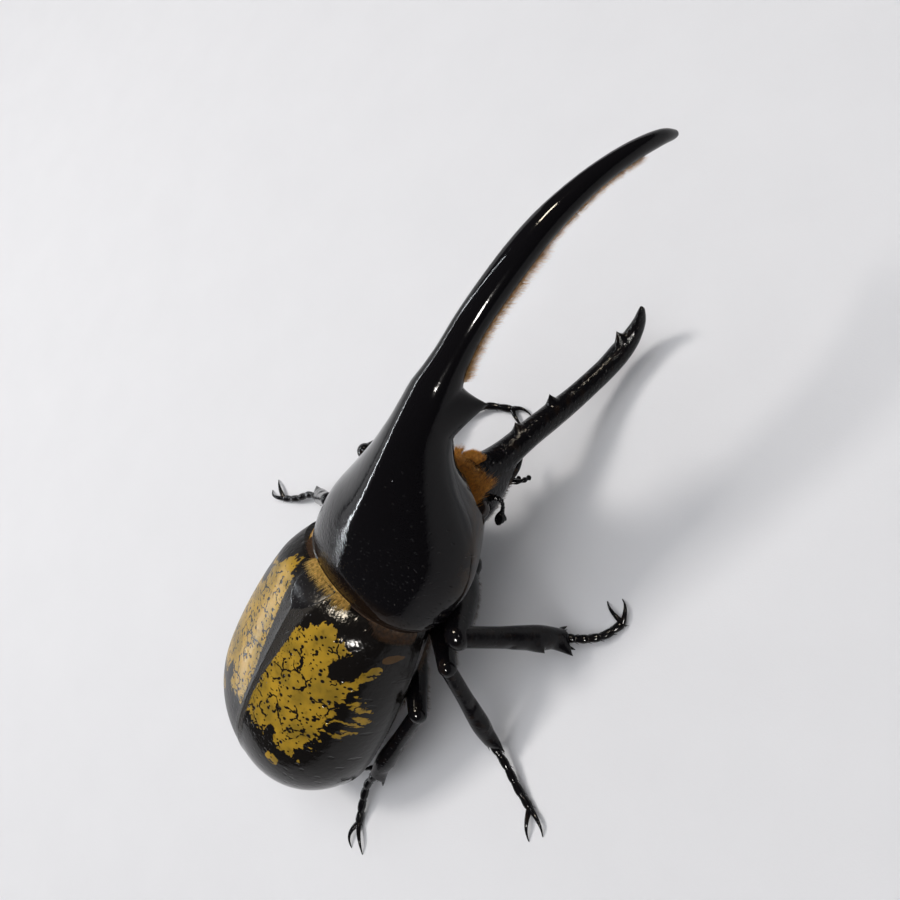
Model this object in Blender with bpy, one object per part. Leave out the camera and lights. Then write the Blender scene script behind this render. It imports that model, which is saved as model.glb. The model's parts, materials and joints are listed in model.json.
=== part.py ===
"""Hercules beetle, adult male, life size, standing on the floor.

The hind body (elytra, abdomen and thorax) is tilted nose up on its legs. The prothorax, with the head
and both horns, is turned a little down and to one side on it. The legs are set between their places on
the body and their footprints on the floor. Sizes are in millimetres, and become metres in each mesh.
"""

import math

import bmesh
import bpy
from mathutils import Matrix, Vector

MM = 0.001
GAP = 0.34
SLIT = 0.3

# Stance: how the body stands over the floor, and how the prothorax is turned on it
BODY_RISE = 19.5
BODY_PIVOT_X = 55.0
BODY_HEIGHT = 28.5
PROTHORAX_PIVOT = (55.4, 0.0, 4.0)
PROTHORAX_YAW = -1.4
PROTHORAX_DROP = 10.0
PROTHORAX_ROLL = 6.4
PROTHORAX_SHIFT = (-2.9, -2.65, 0.2)

# Hind body, from the tip of the elytra at x = 0, with the elytral side edge at z = 0
ELYTRA_LENGTH = 53.4
ELYTRA_HALF_WIDTH = 21.5
ELYTRA_HEIGHT = 18.35
SHOULDER_NARROWING = 0.2
WIDEST_AT = 0.42
HIGHEST_AT = 0.52
PLAN_POWER = 2.3
ARCH_POWER = 2.25
TIP_BLUNTNESS = 0.028
FRONT_FALL = 0.08
FRONT_SLOPE_LENGTH = 5.5
FRONT_SLOPE_FALL = 0.24
SHELL_THICKNESS = 1.1
EDGE_FOLD_DEPTH = 3.0
ABDOMEN_DEPTH = 11.0
CHEST_DEPTH = 13.6
ABDOMEN_END_X = 31.0
STERNITES = 6
STERNITE_STEP = 0.4
CHEST_FROM_X = 24.0
CHEST_RISE_LENGTH = 16.0
REAR_ANGLES = (4, 14, 26, 38, 50, 63, 77)
FRONT_SHARES = (0.42, 0.5, 0.58, 0.66, 0.74, 0.82, 0.9, 0.955, 1.0)
ARCH_SEGMENTS = 16
UNDER_SEGMENTS = 8
SCUTELLUM_TIP_X = 47.2
SCUTELLUM_HALF_WIDTH = 3.6
NECK_ROWS = ((55.0, 15.5, 12.0), (58.0, 14.0, 10.0), (62.0, 12.5, 8.0))

# Prothorax up to the root of its horn: (x, z) at the top, (x, half-width, z) at the side, (x, z) below, and
# how round the back is across
PROTHORAX_ROWS = (
    ((55.4, 11.4), (60.0, 15.6, 3.2), (58.0, -10.0), 2.2),
    ((56.2, 12.9), (60.6, 16.6, 2.9), (58.6, -12.0), 2.1),
    ((61.0, 16.2), (64.0, 17.4, 2.6), (62.0, -13.4), 1.9),
    ((68.0, 19.4), (69.2, 17.4, 2.8), (67.0, -14.0), 1.75),
    ((75.5, 22.0), (74.4, 16.0, 3.6), (72.5, -13.6), 1.6),
    ((82.5, 24.2), (78.6, 13.9, 4.8), (77.5, -12.6), 1.55),
    ((88.5, 25.8), (82.0, 11.4, 6.4), (81.8, -11.0), 1.6),
    ((93.2, 26.8), (86.8, 8.2, 11.6), (85.2, -4.0), 1.75),
    ((97.2, 27.4), (92.0, 6.1, 17.2), (88.2, 5.6), 1.9),
    ((100.6, 27.8), (97.8, 4.9, 21.2), (95.0, 14.2), 2.0),
)
UNDERSIDE_ROUNDNESS = 1.6
RING_POINTS = 28
PROTHORAX_STEPS = 2
HORN_TIP = (154.8, 0, 5.2)
FAR = 200.0

# Horns: (x, z, height, width) along the middle, each up to a blunt end
THORACIC_HORN = (
    (104.0, 24.3, 7.3, 7.0),
    (107.5, 25.1, 6.0, 6.1),
    (112.9, 26.0, 5.3, 5.6),
    (118.6, 26.0, 5.3, 5.4),
    (125.0, 25.5, 5.2, 5.2),
    (130.8, 24.4, 4.8, 4.8),
    (136.1, 22.4, 4.3, 4.3),
    (141.8, 19.3, 3.7, 3.7),
    (147.6, 14.7, 3.3, 3.2),
    (152.2, 9.8, 2.7, 2.5),
    (154.2, 6.6, 1.7, 1.5),
)
CEPHALIC_HORN = (
    (83.6, -9.6, 11.0, 9.4),
    (87.0, -12.4, 8.4, 7.2),
    (91.0, -15.1, 6.9, 5.9),
    (95.6, -18.0, 6.4, 5.5),
    (100.4, -21.8, 6.3, 5.3),
    (105.4, -25.7, 5.8, 4.9),
    (110.6, -28.8, 5.5, 4.7),
    (114.9, -30.9, 5.5, 4.6),
    (119.0, -31.8, 5.4, 4.6),
    (122.8, -31.8, 4.7, 3.9),
    (126.4, -30.2, 3.2, 2.7),
    (128.6, -27.6, 1.7, 1.5),
    (129.2, -26.4, 1.1, 1.1),
)
HORN_RING_POINTS = 14
HORN_STEPS = 2
THORACIC_TEETH = (((99.6, 2.9, 20.8), (102.9, 5.8, 17.6), 3.3),)
CEPHALIC_TEETH = (
    ((94.8, 0.0, -17.4), (97.0, 0.0, -13.2), 1.5),
    ((102.8, 0.0, -23.2), (104.6, 0.0, -17.8), 1.8),
    ((121.0, 0.0, -31.0), (122.8, 0.0, -25.6), 1.6),
)

# Head and its opening in the prothorax, in the same kind of rows
HEAD_ROWS = (
    ((71.5, -4.0), (71.5, 5.0, -9.0), (71.5, -14.0), 2.2),
    ((74.0, 0.2), (74.0, 6.4, -8.0), (74.0, -16.0), 2.2),
    ((79.0, 1.2), (79.0, 6.9, -8.2), (79.0, -17.4), 2.2),
    ((83.5, -1.4), (83.5, 6.0, -9.6), (83.5, -17.8), 2.2),
    ((86.6, -6.0), (86.6, 4.4, -12.0), (86.8, -18.0), 2.2),
    ((89.0, -11.0), (89.2, 2.9, -14.8), (89.4, -18.2), 2.2),
)
HEAD_RING_POINTS = 20
SOCKET_ROWS = (
    ((74.0, 3.4), (74.0, 8.8, -6.5), (74.0, -17.0), 2.2),
    ((82.0, 6.0), (82.0, 10.4, -5.5), (82.0, -19.0), 2.2),
    ((97.0, 9.0), (97.0, 13.0, -4.0), (97.0, -23.0), 2.2),
)
EYE_CENTRE = (81.0, 6.6, -4.6)
EYE_RADIUS = 2.1

ANTENNA_ROUTE = (
    (82.6, 5.2, -8.0), (84.2, 7.0, -7.2), (84.2, 8.0, -8.0), (82.9, 8.4, -9.6), (81.5, 8.4, -10.9)
)
ANTENNA_RADII = (0.9, 0.75, 0.6, 0.55, 0.6)
CLUB_LENGTH = 3.4
CLUB_LEAVES = 3
CLUB_FAN = 16.0

# Mouthparts: (base, tip, base radius) of each piece under the front of the head
MANDIBLE = ((86.0, 2.0, -17.0), (90.4, 1.2, -19.8), 1.6)
MOUTH_PLATE = ((80.6, 0.0, -17.0), (88.2, 0.0, -19.0), 2.8)
PALP_ROUTES = (
    ((84.6, 2.4, -18.2), (86.4, 4.0, -20.2), (87.6, 4.3, -21.8)),
    ((83.4, 1.2, -18.6), (84.8, 2.2, -20.8), (85.8, 2.3, -22.4)),
)
PALP_RADIUS = 0.55

# Legs, in the stance's own axes: hip, knee, ankle, the way along the tarsus, and where the claws end
LEGS = {
    "front_right": dict(
        hip=(10.0, -8.8, 14.6), knee=(2.4, -22.7, 26.4), ankle=(12.4, -31.2, 4.2),
        tarsus=((14.9, -34.0, 3.2), (18.1, -36.2, 2.2), (22.3, -37.0, 1.0)), claws=(25.4, -33.2),
        thick=1.08, teeth=1.0, hook=1.0),
    "front_left": dict(
        hip=(10.2, 7.0, 16.2), knee=(12.0, 28.1, 18.0), ankle=(30.4, 25.8, 4.6),
        tarsus=((33.4, 23.2, 3.2), (37.3, 20.6, 2.2), (40.4, 15.6, 1.0)), claws=(41.6, 10.2),
        thick=1.0, teeth=1.0, hook=-1.0),
    "middle_right": dict(
        hip=(0.6, -8.5, 15.0), knee=(-4.5, -23.6, 22.5), ankle=(-14.2, -34.4, 4.6),
        tarsus=((-15.3, -38.8, 3.2), (-16.9, -43.2, 2.0), (-18.0, -47.6, 1.0)), claws=(-20.4, -52.8),
        thick=0.84, teeth=0.6, hook=-1.0),
    "middle_left": dict(
        hip=(0.6, 8.5, 15.0), knee=(-1.6, 26.2, 20.5), ankle=(-8.6, 41.6, 4.6),
        tarsus=((-11.2, 45.9, 3.2), (-14.6, 49.0, 2.0), (-17.9, 53.3, 1.0)), claws=(-19.0, 59.2),
        thick=0.84, teeth=0.6, hook=-1.0),
    "hind_right": dict(
        hip=(-9.4, -8.5, 12.4), knee=(-17.0, -23.4, 18.4), ankle=(-38.4, -20.6, 7.4),
        tarsus=((-42.8, -19.6, 4.8), (-47.6, -20.6, 2.6), (-52.0, -22.4, 1.0)), claws=(-57.4, -25.0),
        thick=0.86, teeth=0.5, hook=1.0),
    "hind_left": dict(
        hip=(-9.4, 8.5, 12.4), knee=(-18.2, 23.4, 18.2), ankle=(-38.8, 21.6, 7.4),
        tarsus=((-43.2, 22.0, 4.8), (-47.8, 23.4, 2.6), (-52.0, 25.8, 1.0)), claws=(-57.0, 29.0),
        thick=0.86, teeth=0.5, hook=-1.0),
}
COXA_RADIUS = 4.4
COXA_INWARD = 0.6
COXA_LIFT = 3.0
FEMUR_RADII = (2.4, 3.1, 3.5, 3.3, 2.9, 2.6)
TIBIA_RADII = (1.9, 1.95, 2.0, 2.25, 2.35, 1.75)
TARSUS_NARROW = 0.68
TARSUS_WIDE = 0.95
TARSOMERES = 5
LIMB_SIDES = 10
TARSUS_SIDES = 8
TIBIA_TEETH = ((0.44, 0.7), (0.68, 1.9), (0.93, 2.3))
TIBIA_TOOTH_RADIUS = 1.2
SPUR_LENGTH = 2.2
CLAW_RADIUS = 0.55
CLAW_SPREAD = 1.7
CLAW_ARCH = 1.9
CLAW_HOOK = 1.2

BLACK = (0.012, 0.010, 0.011)
OCHRE = (0.36, 0.27, 0.055)
AMBER = (0.10, 0.03, 0.012)
EYE_BROWN = (0.03, 0.016, 0.01)

hind_frame = (
    Matrix.Translation((0, 0, BODY_HEIGHT))
    @ Matrix.Rotation(math.radians(-BODY_RISE), 4, "Y")
    @ Matrix.Translation((-BODY_PIVOT_X, 0, 0))
)
prothorax_frame = (
    hind_frame
    @ Matrix.Translation(Vector(PROTHORAX_SHIFT) + Vector(PROTHORAX_PIVOT))
    @ Matrix.Rotation(math.radians(PROTHORAX_YAW), 4, "Z")
    @ Matrix.Rotation(math.radians(PROTHORAX_DROP), 4, "Y")
    @ Matrix.Rotation(math.radians(PROTHORAX_ROLL), 4, "X")
    @ Matrix.Translation(-Vector(PROTHORAX_PIVOT))
)
stance_frame = Matrix.Identity(4)


def power(value, exponent):
    """A signed power, for superellipses."""
    return math.copysign(abs(value) ** exponent, value)


def smooth_rows(rows, steps):
    """Rows of numbers with steps - 1 more between each two, on a Catmull-Rom curve."""
    out = []
    last = len(rows) - 1
    for i in range(last):
        before = rows[max(i - 1, 0)]
        after = rows[min(i + 2, last)]
        for k in range(steps):
            t = k / steps
            row = []
            for a, b, c, d in zip(before, rows[i], rows[i + 1], after):
                bend = 2 * a - 5 * b + 4 * c - d + t * (3 * (b - c) + d - a)
                row.append(b + 0.5 * t * (c - a + t * bend))
            out.append(tuple(row))
    out.append(tuple(rows[last]))
    return out


def new_object(name, bm):
    """An object of this mesh, with its faces pointing out."""
    bmesh.ops.recalc_face_normals(bm, faces=bm.faces)
    mesh = bpy.data.meshes.new(name)
    bm.to_mesh(mesh)
    bm.free()
    obj = bpy.data.objects.new(name, mesh)
    bpy.context.scene.collection.objects.link(obj)
    return obj


def loft(name, rings, frame, start_pole=None, end_pole=None):
    """A closed skin over rings of points in millimetres, each end drawn together at a pole."""
    bm = bmesh.new()
    rows = [[bm.verts.new(frame @ Vector(point) * MM) for point in ring] for ring in rings]
    count = len(rings[0])
    for row, following in zip(rows, rows[1:]):
        for i in range(count):
            j = (i + 1) % count
            bm.faces.new((row[i], row[j], following[j], following[i]))
    for row, ring, pole in ((rows[0], rings[0], start_pole), (rows[-1], rings[-1], end_pole)):
        middle = pole or [sum(axis) / count for axis in zip(*ring)]
        tip = bm.verts.new(frame @ Vector(middle) * MM)
        for i in range(count):
            bm.faces.new((row[i], row[(i + 1) % count], tip))
    bmesh.ops.triangulate(bm, faces=bm.faces)
    return new_object(name, bm)


def boolean(target, operation, operands, solver="EXACT"):
    """Joins or cuts target with closed objects, which are then removed."""
    group = bpy.data.collections.new("operands")
    bpy.context.scene.collection.children.link(group)
    for operand in operands:
        bpy.context.scene.collection.objects.unlink(operand)
        group.objects.link(operand)
    modifier = target.modifiers.new(operation, "BOOLEAN")
    modifier.operation = operation
    if len(operands) > 1:
        modifier.operand_type = "COLLECTION"
        modifier.collection = group
    else:
        modifier.object = operands[0]
    modifier.solver = solver
    graph = bpy.context.evaluated_depsgraph_get()
    mesh = bpy.data.meshes.new_from_object(target.evaluated_get(graph))
    target.modifiers.clear()
    target.data = mesh
    for operand in list(group.objects):
        bpy.data.objects.remove(operand)
    bpy.data.collections.remove(group)
    if not mesh.polygons:
        raise ValueError(f"{operation} left nothing of {target.name}")
    keep_largest(target)


def keep_largest(obj):
    """Keeps the largest closed surface of an object, without hollows or loose scraps."""
    bm = bmesh.new()
    bm.from_mesh(obj.data)
    unseen = set(bm.verts)
    bodies = []
    while unseen:
        body = set()
        front = [unseen.pop()]
        while front:
            vert = front.pop()
            body.add(vert)
            for edge in vert.link_edges:
                other = edge.other_vert(vert)
                if other in unseen:
                    unseen.discard(other)
                    front.append(other)
        bodies.append(body)

    def reach(body):
        lows = [min(vert.co[k] for vert in body) for k in range(3)]
        highs = [max(vert.co[k] for vert in body) for k in range(3)]
        return math.dist(lows, highs)

    kept = max(bodies, key=reach)
    bmesh.ops.delete(bm, geom=[vert for body in bodies if body is not kept for vert in body], context="VERTS")
    bmesh.ops.dissolve_degenerate(bm, edges=bm.edges, dist=0.002 * MM)
    bmesh.ops.triangulate(bm, faces=bm.faces)
    bm.to_mesh(obj.data)
    bm.free()


def grown(obj, distance=GAP):
    """A copy whose surface lies a little further out, to cut a neighbour clear of it."""
    copy = bpy.data.objects.new("grown", obj.data.copy())
    bpy.context.scene.collection.objects.link(copy)
    bm = bmesh.new()
    bm.from_mesh(copy.data)
    bm.normal_update()
    moves = [(vert, vert.normal * vert.calc_shell_factor() * distance * MM) for vert in bm.verts]
    for vert, move in moves:
        vert.co += move if move.length < 2 * distance * MM else move.normalized() * 2 * distance * MM
    bm.to_mesh(copy.data)
    bm.free()
    return copy


def clear_of(piece, *neighbours):
    """Cuts a piece back so that it meets its neighbours with a small gap. A grown copy can cross itself at
    the root of a spine, which the other solver doesn't take."""
    for neighbour in neighbours:
        boolean(piece, "DIFFERENCE", [grown(neighbour)], "MANIFOLD")


def box(name, low, high, frame):
    """A box between two corners."""
    bm = bmesh.new()
    bmesh.ops.create_cube(bm, size=1.0)
    for vert in bm.verts:
        corner = [low[k] if vert.co[k] < 0 else high[k] for k in range(3)]
        vert.co = frame @ Vector(corner) * MM
    return new_object(name, bm)


def round_limb(name, route, radii, sides, frame, width_ratio=1.0):
    """A limb along a route of points, round or flattened, with rounded ends."""
    points = [Vector(point) for point in route]
    rings = []
    last = len(points) - 1
    side = None
    for i, point in enumerate(points):
        ahead = (points[min(i + 1, last)] - points[max(i - 1, 0)]).normalized()
        if side is None:
            side = ahead.cross(Vector((0, 0, 1)) if abs(ahead.z) < 0.9 else Vector((1, 0, 0))).normalized()
        side = (side - ahead * side.dot(ahead)).normalized()
        up = side.cross(ahead)
        ring = []
        for k in range(sides):
            turn = math.tau * (k + 0.5) / sides
            across = side * (math.cos(turn) * radii[i] * width_ratio)
            ring.append(point + across + up * (math.sin(turn) * radii[i]))
        rings.append(ring)
        if i in (0, last):
            outward = ahead * (radii[i] * (0.55 if i else -0.55))
            shrunk = [point + outward + (corner - point) * 0.72 for corner in ring]
            rings.insert(0 if i == 0 else len(rings), shrunk)
    first_way = (points[1] - points[0]).normalized()
    last_way = (points[-1] - points[-2]).normalized()
    start = points[0] - first_way * radii[0] * 0.85
    end = points[-1] + last_way * radii[-1] * 0.85
    return loft(name, rings, frame, start, end)


def cone(base, tip, radius, frame, sides=6):
    """A curved-looking spine: a cone whose foot is sunk in what it grows from."""
    base = Vector(base)
    tip = Vector(tip)
    way = (tip - base).normalized()
    side = way.cross(Vector((0, 0, 1)) if abs(way.z) < 0.9 else Vector((1, 0, 0))).normalized()
    up = side.cross(way)
    rings = []
    for share, size in ((0.0, 1.0), (0.55, 0.62), (0.92, 0.2)):
        middle = base.lerp(tip, share)
        ring = []
        for k in range(sides):
            turn = math.tau * (k + 0.5) / sides
            ring.append(middle + (side * math.cos(turn) + up * math.sin(turn)) * radius * size)
        rings.append(ring)
    return loft("spine", rings, frame, None, tip)


def four_point_ring(top, side, under, count, roundness, under_roundness):
    """A ring through a top point, two side points and a point below, each half a superellipse."""
    ring = []
    for k in range(count):
        turn = math.tau * k / count
        upper = math.sin(turn) > 0
        exponent = 2 / (roundness if upper else under_roundness)
        out = power(math.cos(turn), exponent)
        rise = abs(math.sin(turn)) ** exponent
        x_far, z_far = top if upper else under
        x_side, half_width, z_side = side
        ring.append((x_side + (x_far - x_side) * rise, half_width * out, z_side + (z_far - z_side) * rise))
    return ring


def four_point_rings(rows, steps, count, under_roundness):
    flat = [top + side + under + (roundness,) for top, side, under, roundness in rows]
    return [
        four_point_ring(row[0:2], row[2:5], row[5:7], count, row[7], under_roundness)
        for row in smooth_rows(flat, steps)
    ]


def horn_rings(rows, steps, count):
    """Rings square to a horn's middle line."""
    fine = smooth_rows(rows, steps)
    rings = []
    last = len(fine) - 1
    for i, (x, z, height, width) in enumerate(fine):
        ahead_x = fine[min(i + 1, last)][0] - fine[max(i - 1, 0)][0]
        ahead_z = fine[min(i + 1, last)][1] - fine[max(i - 1, 0)][1]
        length = math.hypot(ahead_x, ahead_z)
        lean = (-ahead_z / length * height / 2, ahead_x / length * height / 2)
        top = (x + lean[0], z + lean[1])
        under = (x - lean[0], z - lean[1])
        rings.append(four_point_ring(top, (x, width / 2, z), under, count, 2.0, 2.0))
    return rings


def plan_share(share):
    """Half-width of the hind body, from 0 at its tip to 1 where it is widest, and less at the shoulders."""
    if share < WIDEST_AT:
        return max(0.0, 1 - ((WIDEST_AT - share) / WIDEST_AT) ** PLAN_POWER) ** (1 / PLAN_POWER)
    return 1 - SHOULDER_NARROWING * ((share - WIDEST_AT) / (1 - WIDEST_AT)) ** 2.2


def arch_share(share):
    """Height of the elytra, from their blunt tip over the highest place to the slope at the front."""
    if share < HIGHEST_AT:
        reach = HIGHEST_AT + TIP_BLUNTNESS
        rise = (1 - ((HIGHEST_AT - share) / reach) ** PLAN_POWER) ** (1 / PLAN_POWER)
    else:
        rise = 1 - FRONT_FALL * ((share - HIGHEST_AT) / (1 - HIGHEST_AT)) ** 2
    from_front = (1 - share) * ELYTRA_LENGTH
    if from_front < FRONT_SLOPE_LENGTH:
        rise *= 1 - FRONT_SLOPE_FALL * (1 - from_front / FRONT_SLOPE_LENGTH) ** 2
    return rise


def hind_shares():
    """Places along the hind body, closer together at the tip and at the front."""
    shares = []
    for degrees in REAR_ANGLES:
        cosine = math.cos(math.radians(degrees)) ** (2 / PLAN_POWER)
        shares.append(WIDEST_AT * (1 - cosine))
    return shares + list(FRONT_SHARES)


def arch(x, half_width, height):
    """The arched upper half of a ring of the hind body, from its left side over the top."""
    points = []
    for k in range(ARCH_SEGMENTS + 1):
        turn = math.pi * k / ARCH_SEGMENTS
        out = half_width * power(math.cos(turn), 2 / ARCH_POWER)
        points.append((x, out, height * abs(math.sin(turn)) ** (2 / ARCH_POWER)))
    return points


def elytra_form(grow, lower_rows, extend=0.0):
    """The closed dome of both elytra. Grow makes it larger all round, and lower_rows give its sides below the
    side edge as (share of half-width, z)."""
    rings = []
    for share in hind_shares():
        x = -grow + share * (ELYTRA_LENGTH + 2 * grow)
        half_width = (ELYTRA_HALF_WIDTH + grow) * plan_share(share)
        height = (ELYTRA_HEIGHT + grow) * arch_share(share)
        depth_share = min(1.0, 0.35 + plan_share(share))
        ring = arch(x, half_width, height)
        for width, z in lower_rows:
            ring.append((x, -half_width * width, z * depth_share))
        for width, z in reversed(lower_rows):
            ring.append((x, half_width * width, z * depth_share))
        rings.append(ring)
    if extend:
        rings.append([(point[0] + extend, point[1], point[2]) for point in rings[-1]])
    return loft("elytra", rings, hind_frame)


def belly_form():
    """The abdomen and thorax in one, under the elytra: its top follows the inside of the shells."""
    inset = -(SHELL_THICKNESS + SLIT)
    rings = []
    rows = []
    for share in hind_shares():
        x = -inset + share * (ELYTRA_LENGTH + 2 * inset)
        half_width = (ELYTRA_HALF_WIDTH + inset) * plan_share(share)
        height = (ELYTRA_HEIGHT + inset) * arch_share(share)
        rows.append((x, half_width, height, plan_share(share)))
    for x, half_width, height in NECK_ROWS:
        rows.append((x, half_width, height, 0.9))
    for x, half_width, height, fullness in rows:
        chest = min(1.0, max(0.0, (x - CHEST_FROM_X) / CHEST_RISE_LENGTH))
        depth = (ABDOMEN_DEPTH + (CHEST_DEPTH - ABDOMEN_DEPTH) * chest) * min(1.0, fullness) ** 0.9
        plate = (x / ABDOMEN_END_X * STERNITES) % 1.0
        if x < ABDOMEN_END_X:
            depth -= STERNITE_STEP * plate
        ring = arch(x, half_width, height)
        fold = -min(EDGE_FOLD_DEPTH, depth * 0.4)
        ring.append((x, -half_width * 0.95, fold * 0.7))
        for k in range(UNDER_SEGMENTS + 1):
            turn = math.pi * k / UNDER_SEGMENTS
            ring.append((
                x, -half_width * 0.91 * power(math.cos(turn), 0.85),
                fold * 1.2 - (depth + fold * 1.2) * math.sin(turn) ** 0.9,
            ))
        ring.append((x, half_width * 0.95, fold * 0.7))
        rings.append(ring)
    return loft("belly", rings, hind_frame)


def side_of(form, side):
    """The left (1) or right (-1) half of a form, cut along the middle."""
    low = (-FAR, SLIT / 2 if side > 0 else -FAR, -FAR)
    high = (FAR, FAR if side > 0 else -SLIT / 2, FAR)
    boolean(form, "INTERSECT", [box("half", low, high, hind_frame)])
    return form


def scutellum_prism(grow):
    """The upright prism of the scutellum's triangle."""
    front_x = ELYTRA_LENGTH + 3
    rings = []
    for z in (8.0, 26.0):
        rings.append([
            (SCUTELLUM_TIP_X - 1.6 * grow, 0, z),
            (ELYTRA_LENGTH - 1.5, -SCUTELLUM_HALF_WIDTH - grow, z),
            (front_x, -SCUTELLUM_HALF_WIDTH - grow, z),
            (front_x, SCUTELLUM_HALF_WIDTH + grow, z),
            (ELYTRA_LENGTH - 1.5, SCUTELLUM_HALF_WIDTH + grow, z),
        ])
    return loft("scutellum prism", rings, hind_frame)


def shell_form(grow):
    """Both elytra as one arched shell with folded side edges."""
    outer = elytra_form(grow, ((0.985, -1.5), (0.945, -EDGE_FOLD_DEPTH)))
    inner = elytra_form(-SHELL_THICKNESS, ((0.985, -1.5), (0.95, -EDGE_FOLD_DEPTH), (0.95, -9.0)), extend=6.0)
    boolean(outer, "DIFFERENCE", [inner])
    return outer


def prothorax_pieces():
    """The pronotum with its belly side, and its long horn, parted by a thin cut across the root."""
    rings = four_point_rings(PROTHORAX_ROWS, PROTHORAX_STEPS, RING_POINTS, UNDERSIDE_ROUNDNESS)
    pronotum = loft("pronotum", rings, prothorax_frame)
    root_top, root_side, root_under, roundness = PROTHORAX_ROWS[-1]
    root = four_point_ring(root_top, root_side, root_under, HORN_RING_POINTS, roundness, UNDERSIDE_ROUNDNESS)
    root = [(x + SLIT * 1.2, y, z + SLIT * 0.4) for x, y, z in root]
    rings = [root] + horn_rings(THORACIC_HORN, HORN_STEPS, HORN_RING_POINTS)
    horn = loft("thoracic_horn", rings, prothorax_frame, None, HORN_TIP)
    teeth = []
    for base, tip, radius in THORACIC_TEETH:
        for side in (-1, 1):
            near = (base[0], base[1] * side, base[2])
            far = (tip[0], tip[1] * side, tip[2])
            teeth.append(cone(near, far, radius, prothorax_frame, 8))
    boolean(horn, "UNION", teeth)
    clear_of(horn, pronotum)
    return pronotum, horn


def head_pieces(pronotum):
    """The head, its horn with teeth along the top, the eyes, antennae and mouthparts."""
    head = loft("head", four_point_rings(HEAD_ROWS, 2, HEAD_RING_POINTS, 2.2), prothorax_frame)
    horn = loft("cephalic_horn", horn_rings(CEPHALIC_HORN, HORN_STEPS, 12), prothorax_frame)
    teeth = [cone(base, tip, radius, prothorax_frame) for base, tip, radius in CEPHALIC_TEETH]
    boolean(horn, "UNION", teeth)
    socket = loft("socket", four_point_rings(SOCKET_ROWS, 1, 18, 2.2), prothorax_frame)
    boolean(pronotum, "DIFFERENCE", [socket])
    clear_of(pronotum, head)
    clear_of(horn, head)
    pieces = {"head": head, "cephalic_horn": horn, "mouthparts": mouthparts()}
    clear_of(pieces["mouthparts"], head)
    for name, side in (("left", 1), ("right", -1)):
        feeler = antenna("antenna_" + name, side)
        clear_of(pronotum, feeler)
        clear_of(feeler, head)
        pieces[feeler.name] = feeler
    for name, side in (("left", 1), ("right", -1)):
        eye = ball("eye_" + name, mirrored(EYE_CENTRE, side), EYE_RADIUS, prothorax_frame)
        clear_of(head, eye)
        clear_of(pronotum, eye)
        pieces[eye.name] = eye
    return pieces


def mirrored(point, side):
    return (point[0], point[1] * side, point[2])


def ball(name, centre, radius, frame):
    bm = bmesh.new()
    bmesh.ops.create_icosphere(bm, subdivisions=2, radius=radius)
    for vert in bm.verts:
        vert.co = frame @ (vert.co + Vector(centre)) * MM
    return new_object(name, bm)


def antenna(name, side):
    """A bent stalk with a club of three flat leaves."""
    route = [mirrored(point, side) for point in ANTENNA_ROUTE]
    stalk = round_limb(name, route, ANTENNA_RADII, 8, prothorax_frame)
    leaves = []
    tip = Vector(route[-1])
    ahead = (tip - Vector(route[-2])).normalized()
    for leaf in range(CLUB_LEAVES):
        angle = math.radians(CLUB_FAN * (leaf - (CLUB_LEAVES - 1) / 2))
        way = Matrix.Rotation(angle, 3, "Y") @ ahead
        start = tip - way * 0.6
        middle = tip + way * CLUB_LENGTH * 0.5
        end = tip + way * CLUB_LENGTH
        leaves.append(round_limb("leaf", (start, middle, end), (0.36, 0.55, 0.42), 8, prothorax_frame, 2.1))
    boolean(stalk, "UNION", leaves)
    return stalk


def mouthparts():
    """The chin plate, two mandibles and four palps in one piece under the head."""
    base, tip, radius = MOUTH_PLATE
    points = [Vector(base).lerp(Vector(tip), share) for share in (0, 0.5, 1)]
    radii = (radius * 0.8, radius * 0.9, radius * 0.6)
    plate = round_limb("mouthparts", points, radii, 10, prothorax_frame, 1.3)
    pieces = []
    for side in (-1, 1):
        base, tip, radius = MANDIBLE
        pieces.append(cone(mirrored(base, side), mirrored(tip, side), radius, prothorax_frame, 8))
        for route in PALP_ROUTES:
            points = [mirrored(point, side) for point in route]
            pieces.append(round_limb("palp", points, (PALP_RADIUS,) * 3, 6, prothorax_frame))
    boolean(plate, "UNION", pieces)
    return plate


def along(start, end, shares):
    return [Vector(start).lerp(Vector(end), share) for share in shares]


def leg_pieces(name, leg, trunk, shells):
    """The four pieces of one leg, each cut clear of the one above, the trunk and the wing cases."""
    hip, knee, ankle = (Vector(leg[key]) for key in ("hip", "knee", "ankle"))
    inward = Vector((hip.x, hip.y * COXA_INWARD, hip.z + COXA_LIFT))
    coxa = round_limb("coxa_" + name, along(inward, hip, (0, 0.5, 1)),
                      (COXA_RADIUS * 0.9, COXA_RADIUS, COXA_RADIUS * 0.8), LIMB_SIDES, stance_frame)
    femur = femur_form(name, hip, knee, leg["thick"])
    tibia = tibia_form(name, knee, ankle, leg["thick"], leg["teeth"])
    tarsus = tarsus_form(name, leg, ankle)
    floor = box("floor", (-FAR, -FAR, -FAR), (FAR, FAR, 0), stance_frame)
    boolean(tarsus, "DIFFERENCE", [floor], "MANIFOLD")
    clear_of(tarsus, tibia)
    clear_of(tibia, femur)
    clear_of(femur, coxa, shells, *trunk)
    clear_of(coxa, *trunk)
    return {piece.name: piece for piece in (coxa, femur, tibia, tarsus)}


def femur_form(name, hip, knee, thick):
    shares = [k / (len(FEMUR_RADII) - 1) for k in range(len(FEMUR_RADII))]
    route = along(hip, knee, shares)
    radii = [radius * thick for radius in FEMUR_RADII]
    return round_limb("femur_" + name, route, radii, LIMB_SIDES, stance_frame, 0.8)


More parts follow.
